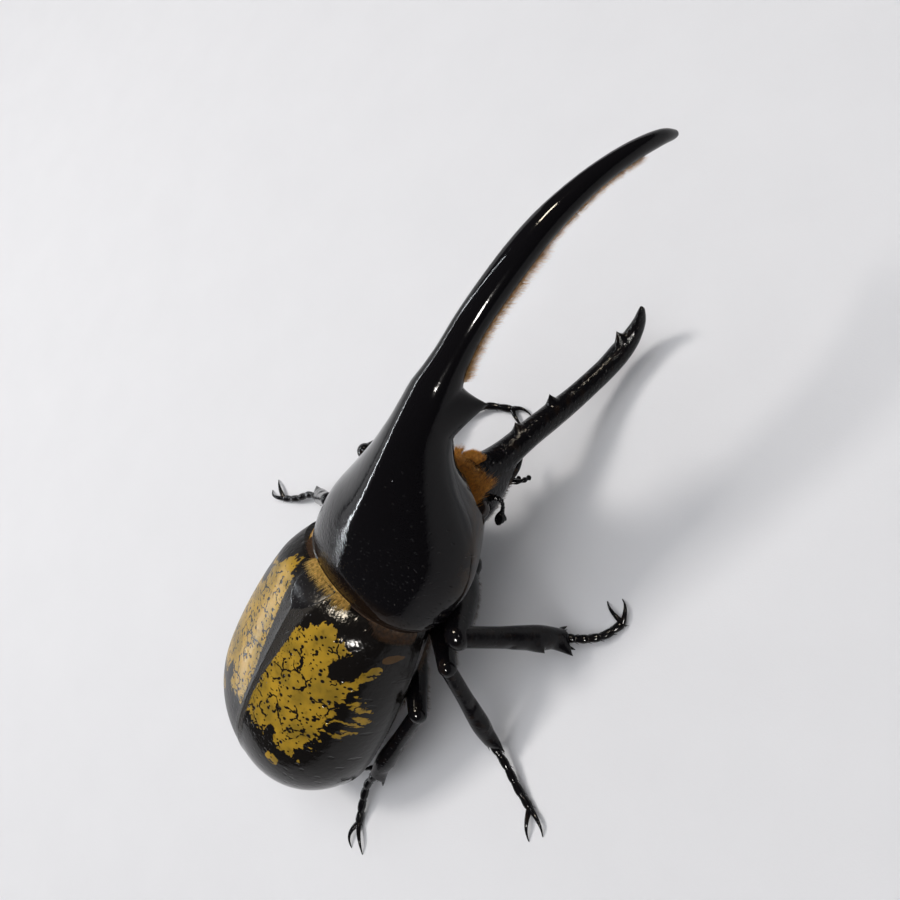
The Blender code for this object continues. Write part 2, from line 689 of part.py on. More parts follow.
def tibia_form(name, knee, ankle, thick, teeth):
    """A shin that widens to its end, with teeth along its outer side and spurs at the end."""
    shares = [k / (len(TIBIA_RADII) - 1) for k in range(len(TIBIA_RADII))]
    way = (ankle - knee).normalized()
    route = along(knee, ankle - way * 1.2, shares)
    radii = [radius * thick for radius in TIBIA_RADII]
    shin = round_limb("tibia_" + name, route, radii, LIMB_SIDES, stance_frame)
    outward = Vector((0, math.copysign(1, knee.y), 0)) - Vector((0, 0, 0.5))
    outward = (outward - way * outward.dot(way)).normalized()
    spines = []
    for share, length in TIBIA_TEETH:
        root = knee.lerp(ankle, share)
        reach = radii[-1] * (0.4 + 0.6 * share) + length * teeth
        tip = root + outward * reach + way * length * 0.9
        spines.append(cone(root, tip, TIBIA_TOOTH_RADIUS, stance_frame))
    for side in (-1, 1):
        root = ankle - way * 2.0 + outward * side * 0.8
        spread = way + outward * side * 0.55
        spines.append(cone(root, root + spread.normalized() * (SPUR_LENGTH + 1.6), 0.9, stance_frame))
    boolean(shin, "UNION", spines)
    return shin


def tarsus_form(name, leg, ankle):
    """Five short joints, each widening to its end, and a pair of hooked claws that meet the floor."""
    points = [tuple(ankle)] + list(leg["tarsus"])
    fine = smooth_rows(points, 8)
    route = []
    radii = []
    per_joint = 4
    total = TARSOMERES * per_joint
    for k in range(total + 1):
        place = k / total * (len(fine) - 1)
        i = min(int(place), len(fine) - 2)
        route.append(Vector(fine[i]).lerp(Vector(fine[i + 1]), place - i))
        phase = k % per_joint
        size = TARSUS_WIDE if phase == 3 else TARSUS_NARROW + 0.1 * phase
        radii.append(TARSUS_WIDE * 0.85 if k in (0, total) else size)
    foot = round_limb("tarsus_" + name, route, radii, TARSUS_SIDES, stance_frame)
    end = route[-1]
    aim = Vector((leg["claws"][0], leg["claws"][1], 0.0))
    way = aim - Vector((end.x, end.y, 0))
    across = Vector((-way.y, way.x, 0)).normalized()
    claws = []
    for side in (-1, 1):
        bend = []
        thickness = []
        for k in range(5):
            share = k / 4
            turn_in = leg["hook"] * CLAW_HOOK * share ** 2
            sideways = across * (side * CLAW_SPREAD * math.sin(share * math.pi * 0.6) + turn_in)
            height = end.z * (1 - share) + CLAW_ARCH * math.sin(share * math.pi) * 0.5 - 0.25 * share ** 2
            spot = Vector((end.x, end.y, 0)) + way * share + sideways
            bend.append(Vector((spot.x, spot.y, height)))
            thickness.append(CLAW_RADIUS * (1.25 - 0.72 * share))
        claws.append(round_limb("claw", bend, thickness, 6, stance_frame))
    boolean(foot, "UNION", claws)
    return foot


def shell_material(name, colour, roughness):
    material = bpy.data.materials.new(name)
    material.use_nodes = True
    shader = material.node_tree.nodes["Principled BSDF"]
    shader.inputs["Base Color"].default_value = (*colour, 1)
    shader.inputs["Roughness"].default_value = roughness
    return material


def build():
    for obj in list(bpy.data.objects):
        bpy.data.objects.remove(obj)

    pronotum, thoracic_horn = prothorax_pieces()
    pieces = {"pronotum": pronotum, "thoracic_horn": thoracic_horn}
    belly = belly_form()
    shells = shell_form(0.0)
    clear_of(shells, pronotum)
    for leg_name, leg in LEGS.items():
        pieces.update(leg_pieces(leg_name, leg, (pronotum, belly), shells))

    clear_of(belly, pronotum)
    scutellum = shell_form(0.25)
    clear_of(scutellum, pronotum)
    boolean(scutellum, "INTERSECT", [scutellum_prism(0.0)])
    pieces["scutellum"] = scutellum
    boolean(shells, "DIFFERENCE", [scutellum_prism(SLIT)])
    for name, side in (("left", 1), ("right", -1)):
        half = bpy.data.objects.new("elytron_" + name, shells.data.copy())
        bpy.context.scene.collection.objects.link(half)
        pieces[half.name] = side_of(half, side)
    bpy.data.objects.remove(shells)
    pieces.update(head_pieces(pronotum))

    thorax = bpy.data.objects.new("thorax", belly.data.copy())
    bpy.context.scene.collection.objects.link(thorax)
    front = box("front", (ABDOMEN_END_X, -FAR, -FAR), (FAR, FAR, FAR), hind_frame)
    rear = box("rear", (-FAR, -FAR, -FAR), (ABDOMEN_END_X + SLIT, FAR, FAR), hind_frame)
    boolean(belly, "DIFFERENCE", [front])
    boolean(thorax, "DIFFERENCE", [rear])
    pieces["abdomen"] = belly
    pieces["thorax"] = thorax

    black = shell_material("black_chitin", BLACK, 0.14)
    leg_black = shell_material("leg_black", BLACK, 0.22)
    ochre = shell_material("elytron_ochre", OCHRE, 0.25)
    brown = shell_material("belly_brown", AMBER, 0.35)
    eye = shell_material("eye_brown", EYE_BROWN, 0.08)
    finishes = {"elytron": ochre, "abdomen": brown, "thorax": brown, "eye": eye, "coxa": leg_black,
                "femur": leg_black, "tibia": leg_black, "tarsus": leg_black}

    stand_at_origin(pieces)
    beetle = bpy.data.objects.new("hercules_beetle", None)
    bpy.context.scene.collection.objects.link(beetle)
    for name, piece in pieces.items():
        piece.name = name
        piece.data.name = name
        piece.data.materials.clear()
        piece.data.materials.append(finishes.get(name.split("_")[0], black))
        piece.data.shade_smooth()
        piece.data.set_sharp_from_angle(angle=math.radians(50))
        piece.parent = beetle


def stand_at_origin(pieces):
    """Puts the middle of the footprint at the origin, and each object's own in the middle of its piece."""
    corners = [vert.co for piece in pieces.values() for vert in piece.data.vertices]
    low = [min(corner[k] for corner in corners) for k in range(3)]
    high = [max(corner[k] for corner in corners) for k in range(3)]
    foot = Vector(((low[0] + high[0]) / 2, (low[1] + high[1]) / 2, low[2]))
    for piece in pieces.values():
        spots = [vert.co for vert in piece.data.vertices]
        middle = Vector([(min(s[k] for s in spots) + max(s[k] for s in spots)) / 2 for k in range(3)])
        piece.data.transform(Matrix.Translation(-middle))
        piece.location = middle - foot


build()
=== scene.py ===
"""Looks of the hercules beetle: fine shells, limbs and setae over the solids, floor, light and camera.

Three frames are used, all in millimetres until a mesh is written in metres. The hind frame holds the
elytra and the belly, with x from the tip of the elytra forwards. The prothorax frame holds the pronotum,
the head and both horns. The stance frame is the floor's, with the legs.
"""

import json
import math

import bmesh
import bpy
import numpy as np
from mathutils import Matrix, Vector

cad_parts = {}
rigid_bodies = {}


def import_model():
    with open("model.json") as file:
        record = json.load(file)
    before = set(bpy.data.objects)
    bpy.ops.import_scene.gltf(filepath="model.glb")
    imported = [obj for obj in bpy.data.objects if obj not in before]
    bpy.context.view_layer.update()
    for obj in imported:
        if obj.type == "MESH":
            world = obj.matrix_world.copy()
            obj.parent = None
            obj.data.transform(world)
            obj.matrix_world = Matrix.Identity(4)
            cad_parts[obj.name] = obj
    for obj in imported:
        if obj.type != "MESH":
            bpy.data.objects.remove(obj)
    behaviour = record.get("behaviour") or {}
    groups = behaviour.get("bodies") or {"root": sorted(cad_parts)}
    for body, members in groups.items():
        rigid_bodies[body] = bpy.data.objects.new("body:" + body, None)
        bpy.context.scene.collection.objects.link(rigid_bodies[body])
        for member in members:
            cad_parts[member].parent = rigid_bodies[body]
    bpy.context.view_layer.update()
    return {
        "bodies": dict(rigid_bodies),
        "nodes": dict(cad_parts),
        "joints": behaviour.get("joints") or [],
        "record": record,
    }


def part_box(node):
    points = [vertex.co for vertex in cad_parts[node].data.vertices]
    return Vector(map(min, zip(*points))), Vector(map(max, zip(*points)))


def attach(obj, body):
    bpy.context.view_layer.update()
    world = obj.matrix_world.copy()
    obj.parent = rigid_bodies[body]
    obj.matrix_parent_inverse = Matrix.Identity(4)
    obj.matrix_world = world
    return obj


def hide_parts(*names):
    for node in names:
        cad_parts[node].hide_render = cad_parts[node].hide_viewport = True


MM = 0.001
SEED = 20

# Stance, as in the solids
BODY_RISE = 19.5
BODY_PIVOT_X = 55.0
BODY_HEIGHT = 28.5
PROTHORAX_PIVOT = (55.4, 0.0, 4.0)
PROTHORAX_YAW = -1.4
PROTHORAX_DROP = 10.0
PROTHORAX_ROLL = 6.4
PROTHORAX_SHIFT = (-2.9, -2.65, 0.2)

# Camera, in the stance frame: where it stands, what lies ahead of it, and which way is down in the picture
CAMERA_PLACE = (48.7, -83.2, 162.0)
CAMERA_AHEAD = (-0.1317, 0.5416, -0.8303)
CAMERA_DOWN = (-0.7679, -0.5854, -0.2600)
CAMERA_LENS = 32.04
SENSOR_WIDTH = 36.0

# Elytra
ELYTRA_LENGTH = 53.4
ELYTRA_HALF_WIDTH = 21.5
ELYTRA_HEIGHT = 18.35
SHOULDER_NARROWING = 0.2
WIDEST_AT = 0.42
HIGHEST_AT = 0.52
PLAN_POWER = 2.3
ARCH_POWER = 2.25
TIP_BLUNTNESS = 0.028
FRONT_FALL = 0.08
FRONT_SLOPE_LENGTH = 5.5
FRONT_SLOPE_FALL = 0.24
SHELL_THICKNESS = 1.1
EDGE_FOLD_DEPTH = 3.0
SUTURE_HALF_GAP = 0.05
SUTURE_BEAD_HEIGHT = 0.16
SUTURE_BEAD_WIDTH = 0.9
SIDE_BEAD_HEIGHT = 0.22
ABDOMEN_DEPTH = 11.0
CHEST_DEPTH = 13.6
CHEST_FROM_X = 24.0
CHEST_RISE_LENGTH = 16.0
ABDOMEN_END_X = 31.0
STERNITES = 6
SCUTELLUM_TIP_X = 47.0
SCUTELLUM_HALF_WIDTH = 3.8
NECK_ROWS = ((55.0, 15.5, 12.0), (58.0, 14.0, 10.0), (62.0, 12.5, 8.0))

# Prothorax: (x, z) at the top, (x, half-width, z) at the side, (x, z) below, roundness across the back
PROTHORAX_ROWS = (
    ((55.4, 11.4), (60.0, 15.6, 3.2), (58.0, -10.0), 2.2),
    ((56.2, 12.9), (60.6, 16.6, 2.9), (58.6, -12.0), 2.1),
    ((61.0, 16.2), (64.0, 17.4, 2.6), (62.0, -13.4), 1.9),
    ((68.0, 19.4), (69.2, 17.4, 2.8), (67.0, -14.0), 1.75),
    ((75.5, 22.0), (74.4, 16.0, 3.6), (72.5, -13.6), 1.6),
    ((82.5, 24.2), (78.6, 13.9, 4.8), (77.5, -12.6), 1.55),
    ((88.5, 25.8), (82.0, 11.4, 6.4), (81.8, -11.0), 1.6),
    ((93.2, 26.8), (86.8, 8.2, 11.6), (85.2, -4.0), 1.75),
    ((97.2, 27.4), (92.0, 6.1, 17.2), (88.2, 5.6), 1.9),
    ((100.6, 27.8), (97.8, 4.9, 21.2), (95.0, 14.2), 2.0),
)
UNDERSIDE_ROUNDNESS = 1.6

# Horns: (x, z, height, width) along the middle
THORACIC_HORN = (
    (104.0, 24.3, 7.3, 7.0),
    (107.5, 25.1, 6.0, 6.1),
    (112.9, 26.0, 5.3, 5.6),
    (118.6, 26.0, 5.3, 5.4),
    (125.0, 25.5, 5.2, 5.2),
    (130.8, 24.4, 4.8, 4.8),
    (136.1, 22.4, 4.3, 4.3),
    (141.8, 19.3, 3.7, 3.7),
    (147.6, 14.7, 3.3, 3.2),
    (152.2, 9.8, 2.7, 2.5),
    (154.2, 6.6, 1.7, 1.5),
    (154.8, 5.4, 0.5, 0.5),
)
CEPHALIC_HORN = (
    (83.6, -9.6, 11.0, 9.4),
    (87.0, -12.4, 8.4, 7.2),
    (91.0, -15.1, 6.9, 5.9),
    (95.6, -18.0, 6.4, 5.5),
    (100.4, -21.8, 6.3, 5.3),
    (105.4, -25.7, 5.8, 4.9),
    (110.6, -28.8, 5.5, 4.7),
    (114.9, -30.9, 5.5, 4.6),
    (119.0, -31.8, 5.4, 4.6),
    (122.8, -31.8, 4.7, 3.9),
    (126.4, -30.2, 3.2, 2.7),
    (128.6, -27.6, 1.7, 1.5),
    (129.2, -26.4, 0.7, 0.7),
)
# Teeth drawn out of a horn: (foot on the surface, tip, reach of the foot)
THORACIC_TEETH = (
    ((100.0, -4.6, 19.6), (103.2, -6.2, 17.2), 4.6),
    ((100.0, 4.6, 19.6), (103.2, 6.2, 17.2), 4.6),
)
CEPHALIC_TEETH = (
    ((95.9, 1.6, -14.6), (96.6, 2.2, -13.8), 1.7),
    ((103.8, 1.6, -20.6), (104.6, 2.2, -19.4), 1.8),
    ((121.4, 1.2, -29.2), (122.4, 1.9, -27.6), 1.8),
)

HEAD_ROWS = (
    ((71.5, -4.0), (71.5, 5.0, -9.0), (71.5, -14.0), 2.2),
    ((74.0, 0.2), (74.0, 6.4, -8.0), (74.0, -16.0), 2.2),
    ((79.0, 1.2), (79.0, 6.9, -8.2), (79.0, -17.4), 2.2),
    ((83.5, -1.4), (83.5, 6.0, -9.6), (83.5, -17.8), 2.2),
    ((86.6, -6.0), (86.6, 4.4, -12.0), (86.8, -18.0), 2.2),
    ((89.0, -11.0), (89.2, 2.9, -14.8), (89.4, -18.2), 2.2),
)
SOCKET_ROWS = (
    ((74.0, 3.4), (74.0, 8.8, -6.5), (74.0, -17.0), 2.2),
    ((82.0, 6.0), (82.0, 10.4, -5.5), (82.0, -19.0), 2.2),
    ((97.0, 9.0), (97.0, 13.0, -4.0), (97.0, -23.0), 2.2),
)
EYE_CENTRE = (81.0, 6.6, -4.6)
EYE_RADIUS = 2.1

ANTENNA_ROUTE = (
    (82.6, 5.2, -8.0), (84.2, 7.0, -7.2), (84.2, 8.0, -8.0), (82.9, 8.4, -9.6), (81.5, 8.4, -10.9)
)
ANTENNA_RADII = (0.8, 0.6, 0.42, 0.4, 0.5)
CLUB_LENGTH = 3.4
CLUB_LEAVES = 3
CLUB_FAN = 16.0

MANDIBLE = ((86.0, 2.0, -17.0), (90.4, 1.2, -19.8), 1.6)
MOUTH_PLATE = ((80.6, 0.0, -17.0), (88.2, 0.0, -19.0), 2.8)
PALP_ROUTES = (
    ((84.6, 2.4, -18.2), (86.4, 4.0, -20.2), (87.6, 4.3, -21.8)),
    ((83.4, 1.2, -18.6), (84.8, 2.2, -20.8), (85.8, 2.3, -22.4)),
)
PALP_RADIUS = 0.5

# Legs, in the stance frame
LEGS = {
    "front_right": dict(
        hip=(10.0, -8.8, 14.6), knee=(2.4, -22.7, 26.4), ankle=(12.4, -31.2, 4.2),
        tarsus=((14.9, -34.0, 3.2), (18.1, -36.2, 2.2), (22.3, -37.0, 1.0)), claws=(25.4, -33.2),
        thick=1.08, teeth=1.0, hook=1.0),
    "front_left": dict(
        hip=(10.2, 7.0, 16.2), knee=(12.0, 28.1, 18.0), ankle=(30.4, 25.8, 4.6),
        tarsus=((33.4, 23.2, 3.2), (37.3, 20.6, 2.2), (40.4, 15.6, 1.0)), claws=(41.6, 10.2),
        thick=1.0, teeth=1.0, hook=-1.0),
    "middle_right": dict(
        hip=(0.6, -8.5, 15.0), knee=(-4.5, -23.6, 22.5), ankle=(-14.2, -34.4, 4.6),
        tarsus=((-15.3, -38.8, 3.2), (-16.9, -43.2, 2.0), (-18.0, -47.6, 1.0)), claws=(-20.4, -52.8),
        thick=0.84, teeth=0.6, hook=-1.0),
    "middle_left": dict(
        hip=(0.6, 8.5, 15.0), knee=(-1.6, 26.2, 20.5), ankle=(-8.6, 41.6, 4.6),
        tarsus=((-11.2, 45.9, 3.2), (-14.6, 49.0, 2.0), (-17.9, 53.3, 1.0)), claws=(-19.0, 59.2),
        thick=0.84, teeth=0.6, hook=-1.0),
    "hind_right": dict(
        hip=(-9.4, -8.5, 12.4), knee=(-17.0, -23.4, 18.4), ankle=(-38.4, -20.6, 7.4),
        tarsus=((-42.8, -19.6, 4.8), (-47.6, -20.6, 2.6), (-52.0, -22.4, 1.0)), claws=(-57.4, -25.0),
        thick=0.86, teeth=0.5, hook=1.0),
    "hind_left": dict(
        hip=(-9.4, 8.5, 12.4), knee=(-18.2, 23.4, 18.2), ankle=(-38.8, 21.6, 7.4),
        tarsus=((-43.2, 22.0, 4.8), (-47.8, 23.4, 2.6), (-52.0, 25.8, 1.0)), claws=(-57.0, 29.0),
        thick=0.86, teeth=0.5, hook=-1.0),
}
COXA_RADIUS = 4.4
COXA_INWARD = 0.6
COXA_LIFT = 3.0
FEMUR_RADII = (2.4, 3.1, 3.5, 3.3, 2.9, 2.6)
TIBIA_RADII = (1.9, 1.95, 2.0, 2.25, 2.35, 1.75)
TARSUS_NARROW = 0.68
TARSUS_WIDE = 0.95
TARSOMERES = 5
TIBIA_TEETH = ((0.44, 0.7), (0.68, 1.9), (0.93, 2.3))
TIBIA_END_SPINES = 6
SPUR_LENGTH = 2.2
CLAW_RADIUS = 0.55
CLAW_SPREAD = 1.7
CLAW_ARCH = 1.9
CLAW_HOOK = 1.2

UP_AXIS = Vector((0, 0, 1))


def turned(degrees, axis):
    return Matrix.Rotation(math.radians(degrees), 4, axis)


def mirrored(point, side):
    return (point[0], point[1] * side, point[2])


def square_to(way, axis):
    """The part of a way that is at a right angle to an axis, drawn out to unit length."""
    return (way - axis * way.dot(axis)).normalized()


def body_frames():
    """The hind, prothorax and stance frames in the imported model's own axes, as matrices in metres."""
    hind = Matrix.Translation((0, 0, BODY_HEIGHT)) @ turned(-BODY_RISE, "Y")
    hind = hind @ Matrix.Translation((-BODY_PIVOT_X, 0, 0))
    pivot = Vector(PROTHORAX_PIVOT)
    prothorax = hind @ Matrix.Translation(Vector(PROTHORAX_SHIFT) + pivot)
    prothorax = prothorax @ turned(PROTHORAX_YAW, "Z") @ turned(PROTHORAX_DROP, "Y")
    prothorax = prothorax @ turned(PROTHORAX_ROLL, "X") @ Matrix.Translation(-pivot)
    low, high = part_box("eye_right")
    eye = prothorax @ Vector(mirrored(EYE_CENTRE, -1))
    shift = Matrix.Translation((low + high) / 2 / MM - eye)
    frames = []
    for frame in (hind, prothorax, Matrix.Identity(4)):
        moved = shift @ frame
        moved.translation *= MM
        frames.append(moved)
    return frames


# Curves and rings


def smooth_rows(rows, steps):
    """Rows of numbers with steps - 1 more between each two, on a Catmull-Rom curve."""
    rows = np.array(rows, float)
    padded = np.vstack([rows[:1], rows, rows[-1:]])
    fine = []
    for i in range(len(rows) - 1):
        a, b, c, d = padded[i : i + 4]
        for k in range(steps):
            t = k / steps
            fine.append(b + 0.5 * t * (c - a + t * (2 * a - 5 * b + 4 * c - d + t * (3 * (b - c) + d - a))))
    fine.append(rows[-1])
    return np.array(fine)


def signed_power(values, exponent):
    return np.sign(values) * np.abs(values) ** exponent


def ring_through(top, side, under, turns, roundness, under_roundness):
    """A ring through a top point, two side points and a point below, each half a superellipse."""
    upper = np.sin(turns) > 0
    exponent = np.where(upper, 2 / roundness, 2 / under_roundness)
    out = signed_power(np.cos(turns), exponent)
    rise = np.abs(np.sin(turns)) ** exponent
    x_far = np.where(upper, top[0], under[0])
    z_far = np.where(upper, top[1], under[1])
    return np.stack(
        [side[0] + (x_far - side[0]) * rise, side[1] * out, side[2] + (z_far - side[2]) * rise], axis=1
    )


def horn_as_rows(rows):
    """A horn's middle line with height and width, as rows of top, side and under points."""
    middle = np.array(rows, float)
    ahead = np.gradient(middle[:, :2], axis=0)
    ahead /= np.linalg.norm(ahead, axis=1)[:, None]
    lean = np.stack([-ahead[:, 1], ahead[:, 0]], axis=1) * middle[:, 2:3] / 2
    flat = []
    for (x, z, _, width), (lean_x, lean_z) in zip(rows, lean):
        flat.append((x + lean_x, z + lean_z, x, width / 2, z, x - lean_x, z - lean_z, 2.0, 2.0))
    return flat


def body_as_rows(rows, under_roundness):
    return [top + side + under + (roundness, under_roundness) for top, side, under, roundness in rows]


def skin_grid(rows, steps, count):
    """Points of a skin over four-point rows: an array of rings, all the way round."""
    turns = math.tau * np.arange(count) / count
    return np.array([
        ring_through(row[0:2], row[2:5], row[5:7], turns, row[7], row[8]) for row in smooth_rows(rows, steps)
    ])


def draw_out(grid, teeth, sharpness):
    """Pulls teeth out of a skin. Each keeps a broad foot that runs smoothly into the surface."""
    points = grid.reshape(-1, 3)
    for foot, tip, reach in teeth:
        away = np.linalg.norm(points - np.array(foot), axis=1)
        nearest = points[np.argmin(away)].copy()
        share = np.clip(1 - np.linalg.norm(points - nearest, axis=1) / reach, 0, 1) ** sharpness
        points += share[:, None] * (np.array(tip) - nearest)
    return points.reshape(grid.shape)


# Meshes


def add_object(name, data, place):
    obj = bpy.data.objects.new(name, data)
    bpy.context.scene.collection.objects.link(obj)
    obj.matrix_world = place
    return obj


def facing(place, right, up, back):
    """The matrix of a camera or light at a place, from its own three axes."""
    turn = Matrix((right, up, back)).transposed()
    return Matrix.Translation(place) @ turn.to_4x4()


def mesh_object(name, points, faces, frame):
    """A smooth mesh object whose points are given in millimetres of one of the frames."""
    mesh = bpy.data.meshes.new(name)
    mesh.from_pydata((np.asarray(points, float) * MM).tolist(), [], faces)
    mesh.update()
    bm = bmesh.new()
    bm.from_mesh(mesh)
    bmesh.ops.recalc_face_normals(bm, faces=bm.faces)
    bm.to_mesh(mesh)
    bm.free()
    mesh.shade_smooth()
    return add_object(name, mesh, frame)


def closed_skin(grids):
    """Points and faces of several closed skins in one mesh, each end drawn together at a pole."""
    points = []
    faces = []
    for grid in grids:
        rows, count = grid.shape[:2]
        offset = len(points)
        for i in range(rows - 1):
            for k in range(count):
                j = (k + 1) % count
                start = offset + i * count
                faces.append((start + k, start + j, start + count + j, start + count + k))
        points += list(grid.reshape(-1, 3))
        for ring in (0, rows - 1):
            pole = len(points)
            points.append(grid[ring].mean(axis=0))
            start = offset + ring * count
            faces += [(start + k, start + (k + 1) % count, pole) for k in range(count)]
    return points, faces


def skin_object(name, grids, frame):
    points, faces = closed_skin(grids)
    return mesh_object(name, points, faces, frame)


LIMB_CAP_ANGLES = (12, 35, 58, 78)
LIMB_CAP_BULGE = 0.85


def limb_grid(route, radii, count, steps, flatness=1.0):
    """Rings round a smooth route in millimetres, with rounded ends."""
    rows = [tuple(point) + (radius,) for point, radius in zip(route, radii)]
    fine = smooth_rows(rows, steps)
    middles = fine[:, :3]
    sizes = fine[:, 3]
    ahead = np.gradient(middles, axis=0)
    ahead /= np.linalg.norm(ahead, axis=1)[:, None]
    side = np.cross(ahead[0], (0, 0, 1))
    turns = math.tau * np.arange(count) / count
    grid = []
    for i, middle in enumerate(middles):
        side = side - ahead[i] * np.dot(side, ahead[i])
        side = side / np.linalg.norm(side)
        up = np.cross(side, ahead[i])
        across = (np.outer(np.cos(turns) * flatness, side) + np.outer(np.sin(turns), up)) * sizes[i]
        bulge = ahead[i] * sizes[i] * LIMB_CAP_BULGE
        cap = [math.radians(degrees) for degrees in LIMB_CAP_ANGLES]
        if i == 0:
            grid += [middle - bulge * math.cos(turn) + across * math.sin(turn) for turn in cap]
        grid.append(middle + across)
        if i == len(middles) - 1:
            grid += [middle + bulge * math.cos(turn) + across * math.sin(turn) for turn in reversed(cap)]
    return np.array(grid)


def spine_grid(base, tip, radius, bend=(0, 0, 0), count=10):
    """A curved thorn from a broad foot to a fine blunt point."""
    base = np.array(base, float)
    tip = np.array(tip, float)
    middle = (base + tip) / 2 + np.array(bend, float)
    route = [base, (base + middle) / 2, middle, middle * 0.45 + tip * 0.55, tip]
    return limb_grid(route, [radius * size for size in (1.0, 0.86, 0.62, 0.4, 0.13)], count, 3)


# Materials

CHITIN_IOR = 1.42
SPOT_CORE = 0.6


class Surface:
    """A material being built, with the place on the surface in millimetres of the object's own frame."""

    def __init__(self, name, roughness, specular=0.5):
        self.material = bpy.data.materials.new(name)
        self.material.use_nodes = True
        self.tree = self.material.node_tree
        self.shader = self.tree.nodes["Principled BSDF"]
        for key, value in (("Roughness", roughness), ("Specular IOR Level", specular), ("IOR", CHITIN_IOR)):
            self.feed(self.shader.inputs[key], value)
        place = self.node("TexCoord").outputs["Object"]
        self.place = self.node("VectorMath", {0: place, "Scale": 1 / MM}, operation="SCALE").outputs[0]
        self.x, self.y, self.z = self.node("SeparateXYZ", {0: self.place}).outputs

    def node(self, kind, inputs=None, **settings):
        """A new node with its settings and its inputs."""
        made = self.tree.nodes.new("ShaderNode" + kind)
        for key, value in settings.items():
            setattr(made, key, value)
        for key, value in (inputs or {}).items():
            self.feed(made.inputs[key], value)
        return made

    def feed(self, socket, value):
        """Sets a socket to a number or colour, or links it."""
        if isinstance(value, (int, float)):
            socket.default_value = value
        elif isinstance(value, tuple):
            socket.default_value = (*value, 1)
        else:
            self.tree.links.new(value, socket)

    def math(self, operation, *values):
        """A maths node, or a chain of them for more than two values."""
        total = values[0]
        for value in values[1:] or (None,):
            inputs = {0: total} if value is None else {0: total, 1: value}
            total = self.node("Math", inputs, operation=operation).outputs[0]
        return total

    def plus(self, *values):
        return self.math("ADD", *values)

    def times(self, *values):
        return self.math("MULTIPLY", *values)

    def minus(self, first, second):
        return self.math("SUBTRACT", first, second)

    def opposite(self, share):
        return self.minus(1.0, share)

    def above(self, value, limit):
        """How far a value lies above a limit, or zero."""
        return self.math("MAXIMUM", self.minus(value, limit), 0.0)

    def below(self, value, limit):
        """How far a value lies below a limit, or zero."""
        return self.math("MAXIMUM", self.minus(limit, value), 0.0)

    def step(self, value, low, high):
        """0 below low and 1 above high. Low may be the larger, for a falling step."""
        rising = high > low
        inputs = {
            "Value": value,
            "From Min": low if rising else high,
            "From Max": high if rising else low,
            "To Min": 0.0 if rising else 1.0,
            "To Max": 1.0 if rising else 0.0,
        }
        return self.node("MapRange", inputs, interpolation_type="SMOOTHSTEP").outputs[0]

    def noise(self, scale, detail=3.0, roughness=0.5, stretch=None, place=None):
        """Noise whose scale is in features per millimetre."""
        place = place or self.place
        if stretch:
            mapping = self.node("Mapping", {"Vector": place})
            mapping.inputs["Scale"].default_value = stretch
            place = mapping.outputs[0]
        inputs = {"Vector": place, "Scale": scale, "Detail": detail, "Roughness": roughness}
        return self.node("TexNoise", inputs).outputs["Fac"]

    def wobble(self, scale, size, detail=3.0):
        """Noise about zero, size millimetres from end to end."""
        return self.times(self.minus(self.noise(scale, detail), 0.5), size)

    def warped(self, scale, size):
        """The place, pushed about by noise."""
        warp = self.node("TexNoise", {"Vector": self.place, "Scale": scale}).outputs["Color"]
        sized = self.node("VectorMath", {0: warp, "Scale": size}, operation="SCALE").outputs[0]
        return self.node("VectorMath", {0: self.place, 1: sized}, operation="ADD").outputs[0]

    def cells(self, scale, feature="F1", place=None, flat=False):
        """Cells in space, or in plan if flat, so that each mark on a shell keeps its size."""
        dimensions = "2D" if flat else "3D"
        inputs = {"Vector": place or self.place, "Scale": scale}
        return self.node("TexVoronoi", inputs, feature=feature, voronoi_dimensions=dimensions)

    def spots(self, scale, size, presence, flat=False):
        """Small round spots: 1 inside. Presence is the share of cells that hold one."""
        made = self.cells(scale, flat=flat)
        inside = self.step(made.outputs["Distance"], size, size * SPOT_CORE)
        chance = self.node("SeparateColor", {0: made.outputs["Color"]}).outputs[0]
        return self.times(inside, self.math("LESS_THAN", chance, presence))

    def mix(self, share, first, second):
        inputs = {"Factor": share, "A": first, "B": second}
        return self.node("Mix", inputs, data_type="RGBA").outputs["Result"]

    def colour(self, value):
        self.feed(self.shader.inputs["Base Color"], value)

    def rough(self, value, low, high):
        """Roughness from low to high as a share goes from 0 to 1."""
        made = self.node("MapRange", {"Value": value, "To Min": low, "To Max": high})
        self.feed(self.shader.inputs["Roughness"], made.outputs[0])

    def relief(self, *layers):
        """Bumps from several shares, each with its depth in millimetres."""
        total = self.plus(*[self.times(share, depth) for share, depth in layers], 0.0)
        made = self.node("Bump", {"Distance": MM, "Height": total})
        self.feed(self.shader.inputs["Normal"], made.outputs[0])


JET = (0.0045, 0.004, 0.0048)
WARM_BLACK = (0.014, 0.008, 0.005)
# Painted reflection: brown for the log and hair that the pronotum's lower slope mirrors
SLOPE_LOG_REFLECTION = (0.040, 0.022, 0.009)
# Spots: (cells per millimetre, radius as a share of a cell, share of the cells that hold one)
PUNCTURE = (0.5, 0.085, 0.5)
SMALL_PUNCTURE = (1.1, 0.15, 0.6)


